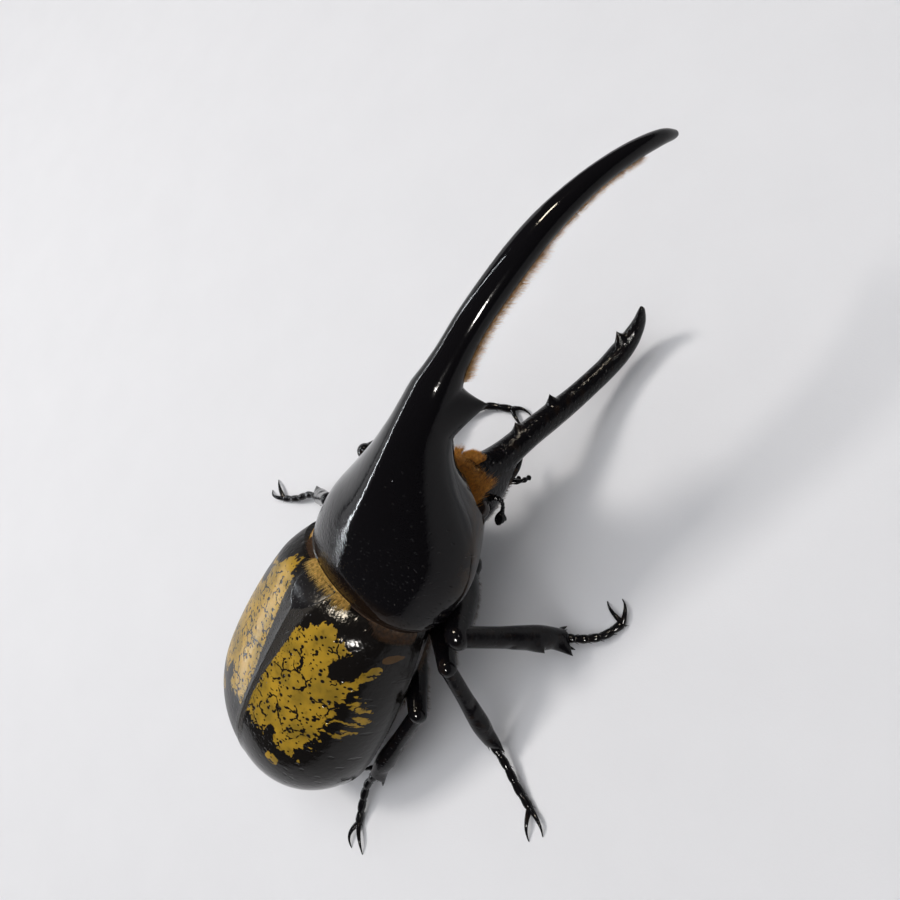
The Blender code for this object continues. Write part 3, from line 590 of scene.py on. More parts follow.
def pronotum_material():
    """Polished black chitin with faint ripples and pin-prick punctures on its rear. Its lower slope carries
    a painted reflection: brown that stands for the brown log and hair mirrored there.
    """
    s = Surface("black_shell", 0.09, 0.2)
    rear = s.step(s.x, 61.5, 57.5)
    # Painted reflection: the lower slope is tinted brown for the brown log and hair below it, not for the
    # shell's own colour
    slope = s.times(s.step(s.z, 9.0, 2.0), s.step(s.x, 66.0, 76.0), s.step(s.x, 97.0, 90.0))
    slope = s.times(slope, s.step(s.noise(0.35, 4.0), 0.3, 0.62))
    base = s.mix(rear, JET, WARM_BLACK)
    s.colour(s.mix(slope, base, SLOPE_LOG_REFLECTION))
    towards_rear = s.step(s.x, 74.0, 64.0)
    hole = s.times(s.spots(*PUNCTURE, flat=True), s.step(s.x, 90.0, 80.0), s.step(s.y, 4.0, 1.0))
    small_hole = s.times(s.spots(*SMALL_PUNCTURE, flat=True), towards_rear, s.step(s.y, 3.0, -4.0))
    wrinkles = s.times(s.noise(1.1, 3.0, 0.6), towards_rear, s.step(s.y, -1.5, 0.5))
    s.relief((s.noise(0.45, 2.0), 0.03), (s.noise(1.3, 2.0), 0.010), (s.noise(5.0, 2.0), 0.0015),
             (hole, -0.14), (small_hole, -0.10), (wrinkles, 0.10))
    s.rough(s.noise(1.2, 4.0), 0.05, 0.12)
    return s.material


def rugged_material(name, pit_scale, pit_depth, wrinkle_depth, low, high):
    """Jet black chitin of the head, its horn and the legs, glossy over wrinkles and punctures."""
    s = Surface(name, (low + high) / 2, 0.2)
    s.colour(s.mix(s.step(s.noise(0.5), 0.5, 0.85), JET, WARM_BLACK))
    s.relief((s.noise(0.9, 4.0, 0.55), wrinkle_depth), (s.spots(pit_scale, 0.3, 0.6), -pit_depth),
             (s.noise(7.0, 2.0), 0.003))
    s.rough(s.noise(2.0, 4.0), low, high)
    return s.material


def shield_material():
    """Black with thin pale scratches along it."""
    s = Surface("shield_black", 0.24, 0.25)
    scratch = s.step(s.noise(1.0, 4.0, 0.6, (0.45, 2.6, 2.6)), 0.62, 0.70)
    s.colour(s.mix(scratch, (0.011, 0.010, 0.011), (0.16, 0.15, 0.14)))
    s.relief((scratch, 0.03), (s.noise(1.4, 4.0), 0.09))
    s.rough(s.noise(2.0), 0.15, 0.34)
    return s.material


# Elytron markings in the plan of the hind frame, with y taken as its distance from the suture
YELLOW_REAR_X = 19.4
YELLOW_FRONT_X = 42.9
YELLOW_FRONT_SLOPE = 0.83
LEFT_FRONT_EXTRA = 3.6
YELLOW_CORNER = 59.5
CORNER_SLOPE = 0.9
YELLOW_SIDE = 17.0
SIDE_TAPERS_BELOW_X = 31.0
SIDE_TAPER = 0.2
YELLOW_CENTRE = (33.0, 8.0)
SUTURE_BAND = 1.0
BAND_WIDENS_FROM_X = 28.0
BAND_WIDENING = 0.12
# Blots: (x, y, half-length, half-width)
REAR_NOTCH = (20.0, 8.4, 3.6, 1.3)
DARK_BLOT = (43.6, 14.4, 3.0, 2.3)
REAR_ISLAND = (15.2, 10.5, 1.6, 1.5)
SIDE_ISLAND = (44.7, 17.6, 1.6, 0.6)
ORANGE_SPOT = (48.0, 17.9, 0.95, 0.55)
SQUIGGLES = (33.0, 18.4, 4.6, 1.9)
MUSTARD = (0.427, 0.255, 0.024)
OLIVE = (0.25, 0.159, 0.0196)
SHADED_OCHRE = (0.155, 0.0891, 0.0135)
SHELL_BLACK = (0.0075, 0.0062, 0.0055)
SUTURE_GREY = (0.030, 0.026, 0.022)
SPOT_ORANGE = (0.085, 0.042, 0.011)
# Spots, as above
DOT = (0.34, 0.15, 0.85)
SMALL_DOT = (0.62, 0.16, 0.7)
SUTURE_DOT = (1.5, 0.24, 0.6)
SUTURE_GRAIN = (1.7, 0.36, 0.85)
# Comb of the field's edge: streaks in each radian about the middle, and in each millimetre outwards
COMB_STREAKS = 9.0
COMB_ALONG = 0.28


def elytron_material():
    """Mustard shell with a black suture, rear and outer side, dark dots and short branching veins."""
    s = Surface("elytron_ochre", 0.2, 0.21)
    across = s.math("ABSOLUTE", s.y)
    on_left = s.step(s.y, -0.5, 0.5)

    def blot(shape, ragged=1.0):
        """1 inside a ragged oval, in plan."""
        x, y, length, width = shape
        away_x = s.math("DIVIDE", s.minus(s.x, x), length)
        away_y = s.math("DIVIDE", s.minus(across, y), width)
        away = s.math("SQRT", s.plus(s.times(away_x, away_x), s.times(away_y, away_y)))
        return s.step(s.plus(away, s.wobble(0.8, ragged, 3.0)), 1.06, 0.94)

    # Streaks that run outwards from the middle of the field, for the comb of its edge
    centre_x, centre_y = YELLOW_CENTRE
    angle = s.math("ARCTAN2", s.minus(across, centre_y), s.minus(s.x, centre_x))
    reach = s.plus(s.math("ABSOLUTE", s.minus(s.x, centre_x)), across)
    around = s.node("CombineXYZ", {
        0: s.plus(s.times(angle, COMB_STREAKS), s.wobble(0.7, 1.4)),
        1: s.times(reach, COMB_ALONG),
        2: s.times(on_left, 7.0),
    })
    comb = s.noise(1.0, 2.0, 0.55, place=around.outputs[0])

    # The field's outline, as how far a place lies within its front, corner, side and rear
    front = s.plus(YELLOW_FRONT_X, s.times(across, YELLOW_FRONT_SLOPE), s.times(on_left, LEFT_FRONT_EXTRA))
    before_front = s.minus(front, s.x)
    before_corner = s.minus(YELLOW_CORNER, s.plus(s.x, s.times(across, CORNER_SLOPE)))
    rear_taper = s.times(s.below(s.x, SIDE_TAPERS_BELOW_X), SIDE_TAPER)
    within_side = s.minus(YELLOW_SIDE, s.plus(rear_taper, across))
    past_rear = s.minus(s.x, YELLOW_REAR_X)
    inside = s.math("MINIMUM", before_front, before_corner, within_side, past_rear)
    edge_streaks = s.times(s.minus(comb, 0.5), 5.0)
    inside = s.plus(inside, s.wobble(0.32, 3.4, 2.0), s.wobble(1.2, 2.0, 4.0), edge_streaks)
    widening = s.times(s.above(s.x, BAND_WIDENS_FROM_X), BAND_WIDENING)
    past_band = s.minus(across, s.plus(widening, SUTURE_BAND))
    past_band = s.plus(past_band, s.wobble(1.1, 0.9, 4.0))
    yellow = s.times(s.step(inside, -0.1, 0.12), s.step(past_band, -0.1, 0.15))
    yellow = s.times(yellow, s.opposite(blot(REAR_NOTCH)), s.opposite(blot(DARK_BLOT)))
    bars = s.step(comb, 0.50, 0.55)
    islands = s.math("MAXIMUM", blot(REAR_ISLAND), blot(SIDE_ISLAND, 0.6), s.times(blot(SQUIGGLES), bars))
    yellow = s.math("MAXIMUM", yellow, islands)

    # Dots and short pieces of branching vein
    bent = s.warped(0.55, 2.6)
    crease = s.cells(0.33, "DISTANCE_TO_EDGE", bent, flat=True).outputs["Distance"]
    vein = s.times(s.step(crease, 0.078, 0.052), s.step(s.noise(0.36, 1.0), 0.50, 0.53))
    dot = s.spots(*DOT, flat=True)
    speck = s.spots(1.0, 0.14, s.plus(0.16, s.times(on_left, 0.2)), flat=True)
    near_suture = s.times(s.spots(*SUTURE_DOT, flat=True), s.step(past_band, 2.6, 0.2))
    dark = s.math("MAXIMUM", vein, dot, s.spots(*SMALL_DOT, flat=True), speck, near_suture)
    yellow = s.times(yellow, s.opposite(dark))

    mustard = s.mix(s.step(s.noise(0.2), 0.35, 0.7), MUSTARD, OLIVE)
    mustard = s.mix(s.step(s.noise(0.8, 4.0), 0.56, 0.85), mustard, SHADED_OCHRE)
    grain = s.opposite(s.spots(*SUTURE_GRAIN, flat=True))
    grey = s.mix(grain, SHELL_BLACK, SUTURE_GREY)
    suture_zone = s.times(s.step(past_band, 0.5, -0.2), s.step(s.x, 8.0, 14.0))
    ground = s.mix(suture_zone, SHELL_BLACK, grey)
    base = s.mix(yellow, ground, mustard)
    s.colour(s.mix(blot(ORANGE_SPOT, 0.4), base, SPOT_ORANGE))
    shoulder = s.step(s.x, 40.0, 47.0)
    s.relief((s.noise(0.7), 0.06), (s.times(s.noise(0.8, 3.0, 0.55), shoulder), 0.12), (s.noise(4.5), 0.006),
             (dot, -0.04), (speck, -0.06), (yellow, 0.008), (s.times(grain, suture_zone), 0.06))
    dullness = s.plus(s.times(s.noise(1.6, 4.0), 0.25), s.times(suture_zone, 0.5), s.times(on_left, 0.5))
    s.rough(dullness, 0.08, 0.42)
    return s.material


def belly_material():
    """Dark brown underside. Behind the pronotum its neck is golden on the left and brown on the right."""
    s = Surface("belly_brown", 0.25, 0.4)
    base = s.mix(s.noise(0.6, 4.0), (0.012, 0.007, 0.005), (0.055, 0.020, 0.009))
    neck = s.times(s.step(s.x, 52.0, 53.5), s.step(s.z, 4.0, 7.0))
    gold = s.mix(s.step(s.y, -9.0, 0.0), (0.060, 0.024, 0.008), (0.36, 0.19, 0.035))
    s.colour(s.mix(neck, base, gold))
    s.relief((s.noise(1.0, 4.0), 0.12), (s.spots(1.4, 0.3, 0.7), -0.06))
    return s.material


def eye_material():
    """Dark brown, almost mirror smooth, with the faintest grain of facets."""
    s = Surface("eye_brown", 0.06)
    s.colour(s.mix(s.noise(0.6, 2.0), (0.006, 0.004, 0.004), (0.030, 0.015, 0.009)))
    s.relief((s.cells(9.0).outputs["Distance"], 0.012))
    return s.material


def setae_material(name, colour, dark, sheen):
    """Bristles, each of a slightly different tone."""
    s = Surface(name, 0.4, 0.15)
    s.colour(s.mix(s.step(s.noise(1.8), 0.3, 0.7), dark, colour))
    s.shader.inputs["Sheen Weight"].default_value = sheen
    s.shader.inputs["Sheen Tint"].default_value = (1.0, 0.75, 0.35, 1.0)
    s.relief((s.noise(9.0, 2.0), 0.02))
    return s.material


def floor_material():
    """Pale matte board with a hardly visible mottle."""
    s = Surface("floor_pale", 0.75, 0.3)
    s.colour(s.mix(s.noise(0.05, 4.0), (0.73, 0.73, 0.75), (0.77, 0.77, 0.79)))
    s.relief((s.noise(2.5), 0.02))
    return s.material


# Setae

TUFT_SIDES = 3
TUFT_PATCH = 0.003
TUFT_SHARES = (0.0, 0.45, 0.8)
TUFT_SIZES = (1.0, 0.75, 0.4)


def roots_on(grid, rows_kept, round_kept, count):
    """Random roots, spread by area over the kept shares of a skin's rows and of its way round: each has its
    normal, the way along the rows, and its place on the skin's unwrap."""
    rows, across = grid.shape[:2]
    wrapped = np.concatenate([grid, grid[:, :1]], axis=1)
    a = wrapped[:-1, :-1]
    along = wrapped[1:, :-1] - a
    around = wrapped[:-1, 1:] - a
    normal = np.cross(around, along)
    area = np.linalg.norm(normal, axis=2)
    row_share = (np.arange(rows - 1) + 0.5) / (rows - 1)
    round_share = (np.arange(across) + 0.5) / across
    kept_rows = (row_share > rows_kept[0]) & (row_share < rows_kept[1])
    kept_round = (round_share > round_kept[0]) & (round_share < round_kept[1])
    weight = area * (kept_rows[:, None] & kept_round[None, :])
    chosen = rng.choice(weight.size, count, p=weight.ravel() / weight.sum())
    i, k = np.unravel_index(chosen, weight.shape)
    s = rng.random((count, 1))
    t = rng.random((count, 1))
    spots = a[i, k] + along[i, k] * s + around[i, k] * t
    normals = normal[i, k] / (area[i, k][:, None] + 1e-9)
    outward = np.sign(((spots - grid.mean(axis=1)[i]) * normals).sum(axis=1))
    normals *= np.where(outward == 0, 1, outward)[:, None]
    ways = along[i, k] / (np.linalg.norm(along[i, k], axis=1)[:, None] + 1e-9)
    places = np.stack([(i + s[:, 0]) / (rows - 1), (k + t[:, 0]) / across], axis=1)
    return spots, normals, ways, places


def bristles(name, spots, ways, sags, lengths, radius, places, frame, material):
    """Tapered three-sided bristles. Each starts along its way and bends by its sag towards its tip."""
    count = len(spots)
    ways = ways / np.linalg.norm(ways, axis=1)[:, None]
    helper = np.where(np.abs(ways[:, 2:3]) < 0.9, [[0.0, 0.0, 1.0]], [[1.0, 0.0, 0.0]])
    side = np.cross(ways, helper)
    side /= np.linalg.norm(side, axis=1)[:, None]
    up = np.cross(side, ways)
    layers = []
    for share, size in zip(TUFT_SHARES, TUFT_SIZES):
        middle = spots + ways * (lengths[:, None] * share) + sags * share ** 2
        for k in range(TUFT_SIDES):
            turn = math.tau * k / TUFT_SIDES
            layers.append(middle + (side * math.cos(turn) + up * math.sin(turn)) * radius[:, None] * size)
    layers.append(spots + ways * lengths[:, None] + sags)
    points = np.stack(layers, axis=1).reshape(-1, 3)
    each = len(layers)
    pattern = []
    for low in range(0, (len(TUFT_SHARES) - 1) * TUFT_SIDES, TUFT_SIDES):
        for k in range(TUFT_SIDES):
            j = (k + 1) % TUFT_SIDES
            pattern.append((low + k, low + j, low + TUFT_SIDES + j))
            pattern.append((low + k, low + TUFT_SIDES + j, low + TUFT_SIDES + k))
    top = each - 1 - TUFT_SIDES
    for k in range(TUFT_SIDES):
        pattern.append((top + k, top + (k + 1) % TUFT_SIDES, each - 1))
    faces = (np.array(pattern)[None] + (np.arange(count) * each)[:, None, None]).reshape(-1, 3)
    mesh = bpy.data.meshes.new(name)
    mesh.vertices.add(len(points))
    mesh.vertices.foreach_set("co", (points * MM).ravel())
    mesh.loops.add(faces.size)
    mesh.loops.foreach_set("vertex_index", faces.ravel())
    mesh.polygons.add(len(faces))
    mesh.polygons.foreach_set("loop_start", np.arange(0, faces.size, 3))
    mesh.update(calc_edges=True)
    mesh.validate()
    mesh.shade_smooth()
    patch = np.array([
        ((n % TUFT_SIDES) / TUFT_SIDES - 0.33, n // TUFT_SIDES / TUFT_SIDES - 0.5) for n in range(each)
    ])
    spread = np.clip((places[:, None] + patch[None] * TUFT_PATCH).reshape(-1, 2), 0.0, 1.0)
    mesh.uv_layers.new(name="OFBake").data.foreach_set("uv", spread[faces.ravel()].ravel())
    obj = add_object(name, mesh, frame)
    obj.data.materials.append(material)
    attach(obj, "root")


# Prothorax and head

# Fineness of a skin: steps between two rows, points round it
PROTHORAX_FINE = (12, 144)
HEAD_FINE = (10, 72)
CEPHALIC_FINE = (24, 80)
SOCKET_FINE = (16, 96)
HEAD_ROUNDNESS = 2.2
THORACIC_SHARPNESS = 1.25
CEPHALIC_SHARPNESS = 1.6
REAR_RIM_HEIGHT = 0.35
REAR_RIM_AT = 0.5
REAR_RIM_WIDTH = 0.3
REAR_GROOVE_DEPTH = 0.15
REAR_GROOVE_AT = 1.3
SOCKET_SHARP_ANGLE = 38.0
EYE_FIRST_ANGLE = 6
EYE_ANGLE_STEP = 7
EYE_FLATNESS = 0.92
EYE_POINTS = 32


def pronotum_grid():
    """The pronotum and its long horn, one smooth wedge, with the thin bead of its rear margin."""
    rows = body_as_rows(PROTHORAX_ROWS, UNDERSIDE_ROUNDNESS) + horn_as_rows(THORACIC_HORN)
    grid = skin_grid(rows, *PROTHORAX_FINE)
    reach = np.linalg.norm(np.diff(grid, axis=0, prepend=grid[:1]), axis=2).cumsum(axis=0)
    bead = REAR_RIM_HEIGHT * np.exp(-(((reach - REAR_RIM_AT) / REAR_RIM_WIDTH) ** 2))
    groove = REAR_GROOVE_DEPTH * np.exp(-(((reach - REAR_GROOVE_AT) / REAR_RIM_WIDTH) ** 2))
    out = grid - grid.mean(axis=1, keepdims=True)
    out /= np.linalg.norm(out, axis=2)[:, :, None]
    grid = grid + out * (bead - groove)[:, :, None]
    return draw_out(grid, THORACIC_TEETH, THORACIC_SHARPNESS)


def cut_socket(shell, frame):
    """Hollows the front of the prothorax where the head sits, with a crisp front margin."""
    rows = body_as_rows(SOCKET_ROWS, HEAD_ROUNDNESS)
    cutter = skin_object("socket", [skin_grid(rows, *SOCKET_FINE)], frame)
    modifier = shell.modifiers.new("socket", "BOOLEAN")
    modifier.operation = "DIFFERENCE"
    modifier.object = cutter
    modifier.solver = "EXACT"
    bpy.context.view_layer.update()
    graph = bpy.context.evaluated_depsgraph_get()
    mesh = bpy.data.meshes.new_from_object(shell.evaluated_get(graph))
    shell.modifiers.clear()
    shell.data = mesh
    bpy.data.objects.remove(cutter)
    mesh.set_sharp_from_angle(angle=math.radians(SOCKET_SHARP_ANGLE))


def head_grid():
    return skin_grid(body_as_rows(HEAD_ROWS, HEAD_ROUNDNESS), *HEAD_FINE)


def cephalic_grid():
    grid = skin_grid(horn_as_rows(CEPHALIC_HORN), *CEPHALIC_FINE)
    return draw_out(grid, CEPHALIC_TEETH, CEPHALIC_SHARPNESS)


def eye_grid(side):
    """An eye as a slightly flattened ball."""
    centre_x, centre_y, centre_z = EYE_CENTRE
    rings = []
    for degrees in range(EYE_FIRST_ANGLE, 180, EYE_ANGLE_STEP):
        turn = math.radians(degrees)
        radius = EYE_RADIUS * math.sin(turn)
        y = side * (centre_y + EYE_RADIUS * math.cos(turn))
        rings.append([
            (centre_x + radius * math.cos(way), y, centre_z + radius * EYE_FLATNESS * math.sin(way))
            for way in np.linspace(0, math.tau, EYE_POINTS, endpoint=False)
        ])
    return np.array(rings)


def antenna_grids(side):
    """A bent stalk of short joints and a club of three leaves."""
    rows = [mirrored(point, side) + (radius,) for point, radius in zip(ANTENNA_ROUTE, ANTENNA_RADII)]
    route = smooth_rows(rows, 5)
    radii = [radius * (1.0 + 0.16 * math.cos(i * math.tau / 2.5)) for i, radius in enumerate(route[:, 3])]
    grids = [limb_grid(route[:, :3], radii, 16, 3)]
    tip = Vector(mirrored(ANTENNA_ROUTE[-1], side))
    ahead = (tip - Vector(mirrored(ANTENNA_ROUTE[-2], side))).normalized()
    for leaf in range(CLUB_LEAVES):
        way = Matrix.Rotation(math.radians(CLUB_FAN * (leaf - (CLUB_LEAVES - 1) / 2)), 3, "Y") @ ahead
        points = [tip + way * CLUB_LENGTH * share for share in (-0.15, 0.2, 0.55, 0.85, 1.0)]
        grids.append(limb_grid(points, (0.2, 0.42, 0.52, 0.42, 0.2), 16, 4, 2.0))
    return grids


def mouth_grids():
    base, tip, radius = MOUTH_PLATE
    points = [Vector(base).lerp(Vector(tip), share) for share in (0, 0.5, 1)]
    grids = [limb_grid(points, (radius * 0.8, radius * 0.88, radius * 0.55), 32, 6, 1.3)]
    for side in (-1, 1):
        base, tip, radius = MANDIBLE
        grids.append(spine_grid(mirrored(base, side), mirrored(tip, side), radius, (0, 0.35 * side, 0), 18))
        for route in PALP_ROUTES:
            fine = smooth_rows([mirrored(point, side) for point in route], 6)
            radii = [PALP_RADIUS * (1 + 0.22 * math.cos(i * math.tau / 4)) for i in range(len(fine))]
            grids.append(limb_grid(fine, radii, 14, 3))
    return grids


# Hind body

ELYTRON_RINGS = 120
ELYTRON_ARCH_POINTS = 56
EDGE_FOLD_STEPS = 9
INNER_FOLD_DROPS = (0.95, 0.6, 0.3)
ELYTRON_SHARP_ANGLE = 50.0
BELLY_RINGS = 150
BELLY_TOP_POINTS = 40
BELLY_UNDER_POINTS = 44
STERNITE_STEP = 0.55
CHEST_OVERLAP = 0.2
BELLY_FRONT_X = 70.0


def plan_share(share):
    """Half-width of the hind body, from 0 at its tip to 1 where it is widest, and less at the shoulders."""
    if share < WIDEST_AT:
        return max(0.0, 1 - ((WIDEST_AT - share) / WIDEST_AT) ** PLAN_POWER) ** (1 / PLAN_POWER)
    return 1 - SHOULDER_NARROWING * ((share - WIDEST_AT) / (1 - WIDEST_AT)) ** 2.2


def arch_share(share):
    """Height of the elytra, from their blunt tip over the highest place to the slope at the front."""
    if share < HIGHEST_AT:
        reach = HIGHEST_AT + TIP_BLUNTNESS
        rise = (1 - ((HIGHEST_AT - share) / reach) ** PLAN_POWER) ** (1 / PLAN_POWER)
    else:
        rise = 1 - FRONT_FALL * ((share - HIGHEST_AT) / (1 - HIGHEST_AT)) ** 2
    from_front = (1 - share) * ELYTRA_LENGTH
    if from_front < FRONT_SLOPE_LENGTH:
        rise *= 1 - FRONT_SLOPE_FALL * (1 - from_front / FRONT_SLOPE_LENGTH) ** 2
    return rise


def fine_shares(count):
    """Places along the hind body, closer together at its tip."""
    shares = [WIDEST_AT * (1 - math.cos(turn) ** (2 / PLAN_POWER))
              for turn in np.linspace(0.02, math.pi / 2, count // 2, endpoint=False)]
    return shares + list(np.linspace(WIDEST_AT, 1.0, count - len(shares)))


def dome_profile(share, shrink, side, angles):
    """Points of one half of the dome from the suture down to the side edge, at one place along it."""
    x = shrink + share * (ELYTRA_LENGTH - 2 * shrink)
    half_width = (ELYTRA_HALF_WIDTH - shrink) * plan_share(share)
    height = (ELYTRA_HEIGHT - shrink) * arch_share(share)
    out = []
    for turn in angles:
        y = half_width * math.cos(turn) ** (2 / ARCH_POWER)
        z = height * math.sin(turn) ** (2 / ARCH_POWER)
        lift = 0.0
        if shrink == 0:
            lift = SUTURE_BEAD_HEIGHT * math.exp(-1.5 * (y / SUTURE_BEAD_WIDTH) ** 2)
        out.append((x, side * (SUTURE_HALF_GAP + y * (1 - SUTURE_HALF_GAP / max(half_width, 1))), z + lift))
    return out


def elytron_grid(side):
    """One wing case: its outer face, folded side edge and inner face, as one closed ring at each place."""
    upper = np.linspace(math.pi / 2, 0.0, ELYTRON_ARCH_POINTS)
    rings = []
    for share in fine_shares(ELYTRON_RINGS):
        fullness = min(1.0, 0.35 + plan_share(share))
        half_width = ELYTRA_HALF_WIDTH * plan_share(share)
        outer = dome_profile(share, 0.0, side, upper)
        inner = dome_profile(share, SHELL_THICKNESS, side, upper[::-1])
        fold = []
        for step in range(1, EDGE_FOLD_STEPS + 1):
            drop = step / EDGE_FOLD_STEPS
            bead = SIDE_BEAD_HEIGHT * math.sin(min(1.0, drop * 2.2) * math.pi)
            y = half_width * (1 - 0.055 * drop ** 1.6) + bead
            fold.append((outer[-1][0], side * y, -EDGE_FOLD_DEPTH * fullness * drop))
        inner_fold = [(inner[0][0], side * half_width * 0.93, -EDGE_FOLD_DEPTH * fullness * drop)
                      for drop in INNER_FOLD_DROPS]
        rings.append(outer + fold + inner_fold + inner)
    return np.array(rings)


def belly_grid(start_x, end_x):
    """Abdomen or thorax: the top lies under the wing cases, and the plates below step like roof tiles."""
    inset = SHELL_THICKNESS + 0.3
    rows = []
    for share in fine_shares(BELLY_RINGS):
        x = inset + share * (ELYTRA_LENGTH - 2 * inset)
        rows.append((x, (ELYTRA_HALF_WIDTH - inset) * plan_share(share),
                     (ELYTRA_HEIGHT - inset) * arch_share(share), plan_share(share)))
    for x, half_width, height in smooth_rows([rows[-1][:3]] + list(NECK_ROWS), 6)[1:]:
        rows.append((x, half_width, height, 0.9))
    rings = []
    for x, half_width, height, fullness in rows:
        if not start_x <= x <= end_x:
            continue
        chest = min(1.0, max(0.0, (x - CHEST_FROM_X) / CHEST_RISE_LENGTH))
        depth = (ABDOMEN_DEPTH + (CHEST_DEPTH - ABDOMEN_DEPTH) * chest) * min(1.0, fullness) ** 0.9
        plate = (x / ABDOMEN_END_X * STERNITES) % 1.0
        step = STERNITE_STEP * plate ** 3 if x < ABDOMEN_END_X else 0.0
        turns = np.linspace(0, math.pi, BELLY_TOP_POINTS)
        out = half_width * signed_power(np.cos(turns), 2 / ARCH_POWER)
        rise = height * np.abs(np.sin(turns)) ** (2 / ARCH_POWER)
        fold = -min(EDGE_FOLD_DEPTH, depth * 0.4)
        under_turns = np.linspace(0, math.pi, BELLY_UNDER_POINTS)
        flank = -half_width * 0.93 * signed_power(np.cos(under_turns), 0.85)
        below = fold - (depth - step + fold) * np.abs(np.sin(under_turns)) ** 0.9
        upper_half = np.stack([np.full(BELLY_TOP_POINTS, x), out, rise], axis=1)
        under_half = np.stack([np.full(BELLY_UNDER_POINTS, x), flank, below], axis=1)
        rings.append(np.concatenate([upper_half, under_half]))
    return np.array(rings)


def scutellum_grid():
    """The small triangular shield between the bases of the wing cases, slightly crowned."""
    rings = []
    for share in np.linspace(0, 1, 30):
        x = SCUTELLUM_TIP_X + (ELYTRA_LENGTH + 0.4 - SCUTELLUM_TIP_X) * share
        half_width = 0.15 + SCUTELLUM_HALF_WIDTH * math.sin(min(1.0, share * 1.15) * math.pi / 2) ** 0.85
        top = ELYTRA_HEIGHT * arch_share(min(1.0, x / ELYTRA_LENGTH))
        ring = []
        for turn in np.linspace(0, math.tau, 40, endpoint=False):
            y = half_width * math.cos(turn)
            crown = (0.35 if math.sin(turn) > 0 else 0.9) * math.sin(turn)
            ring.append((x, y, top - 0.006 * y ** 2 + crown))
        rings.append(ring)
    return np.array(rings)


# Legs

FEMUR_FLATNESS = 0.8
TIBIA_SHARPNESS = 1.5
TARSOMERE_STEPS = 8
COLLAR_STEP = 6
CLAW_POINTS = 7


def femur_grids(hip, knee, thick):
    route = [hip.lerp(knee, share) for share in np.linspace(0, 1, len(FEMUR_RADII))]
    return [limb_grid(route, [radius * thick for radius in FEMUR_RADII], 48, 8, FEMUR_FLATNESS)]


def tibia_grids(knee, ankle, thick, teeth):
    """A shin with teeth drawn out of its outer side, two spurs and short spines round its end."""
    way = (ankle - knee).normalized()
    end = ankle - way * 1.2
    route = [knee.lerp(end, share) for share in np.linspace(0, 1, len(TIBIA_RADII))]
    radii = [radius * thick for radius in TIBIA_RADII]
    outward = square_to(Vector((0, math.copysign(1, knee.y), -0.5)), way)
    across = way.cross(outward)
    pulls = []
    for share, length in TIBIA_TEETH:
        root = knee.lerp(ankle, share)
        tip = root + outward * (radii[-1] * (0.4 + 0.6 * share) + length * teeth) + way * length * 0.9
        pulls.append((root + outward * radii[3], tip, 1.5 + length * 0.35))
    grids = [draw_out(limb_grid(route, radii, 64, 16), pulls, TIBIA_SHARPNESS)]
    for side in (-1, 1):
        root = ankle - way * 2.0 + outward * side * 0.8
        spread = (way + outward * side * 0.55).normalized()
        grids.append(spine_grid(root, root + spread * (SPUR_LENGTH + 1.6), 0.75, outward * side * 0.25, 16))
    for k in range(TIBIA_END_SPINES):
        turn = math.tau * (k + 0.5) / TIBIA_END_SPINES
        aside = outward * math.cos(turn) + across * math.sin(turn)
        root = end + aside * radii[-1] * 0.72
        grids.append(spine_grid(root, root + way * 1.7 + aside * 0.3, 0.2, (0, 0, 0), 6))
    return grids


def tarsus_grids(leg, ankle):
    """Five joints, each widening to a collar with two small bristle spurs, and a pair of hooked claws."""
    fine = smooth_rows([tuple(ankle)] + list(leg["tarsus"]), 10)
    total = TARSOMERES * TARSOMERE_STEPS
    route = []
    radii = []
    for k in range(total + 1):
        place = k / total * (len(fine) - 1)
        i = min(int(place), len(fine) - 2)
        route.append(fine[i] + (fine[i + 1] - fine[i]) * (place - i))
        phase = (k % TARSOMERE_STEPS) / TARSOMERE_STEPS
        swell = math.sin(math.pi * min(1.0, phase * 1.02)) ** 0.8 * (0.45 + 0.55 * phase)
        radii.append(TARSUS_NARROW + (TARSUS_WIDE - TARSUS_NARROW) * 1.15 * swell)
    grids = [limb_grid(route, radii, 24, 2)]
    ahead = np.gradient(np.array(route), axis=0)
    for joint in range(TARSOMERES):
        k = joint * TARSOMERE_STEPS + COLLAR_STEP
        way = Vector(ahead[k]).normalized()
        side = way.cross(UP_AXIS).normalized()
        for sign in (-1, 1):
            root = Vector(route[k]) + side * sign * 0.45
            tip = root + way * 1.1 + side * sign * 0.55 - UP_AXIS * 0.3
            tip.z = max(tip.z, 0.15)
            grids.append(spine_grid(root, tip, 0.16, (0, 0, 0), 6))
    return grids + claw_grids(leg, Vector(route[-1]))


def claw_grids(leg, end):
    floor_end = Vector((end.x, end.y, 0))
    way = Vector((leg["claws"][0], leg["claws"][1], 0.0)) - floor_end
    across = Vector((-way.y, way.x, 0)).normalized()
    grids = []
    for side in (-1, 1):
        bend = []
        radii = []
        for share in np.linspace(0, 1, CLAW_POINTS):
            sideways = side * CLAW_SPREAD * math.sin(share * math.pi * 0.6)
            sideways += leg["hook"] * CLAW_HOOK * share ** 2
            spot = floor_end + way * share + across * sideways
            height = end.z * (1 - share) + CLAW_ARCH * math.sin(share * math.pi) * 0.5 + 0.12 * share
            bend.append((spot.x, spot.y, height))
            radii.append(CLAW_RADIUS * (1.2 - 1.02 * share))
        grids.append(limb_grid(bend, radii, 14, 4))
    return grids


def coxa_grids(hip):
    inward = Vector((hip.x, hip.y * COXA_INWARD, hip.z + COXA_LIFT))
    route = [inward.lerp(hip, share) for share in (0, 0.5, 1)]
    return [limb_grid(route, (COXA_RADIUS * 0.9, COXA_RADIUS, COXA_RADIUS * 0.8), 40, 6)]


# Assembly

SIDES = (("left", 1), ("right", -1))


def dress(obj, material, slot, *nodes):
    """Gives a piece its material, hides the solids it stands for, and attaches it to the body it rides on.
    The slot argument is not used.
    """
    obj.data.materials.clear()
    obj.data.materials.append(material)
    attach(obj, "root")
    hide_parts(*nodes)


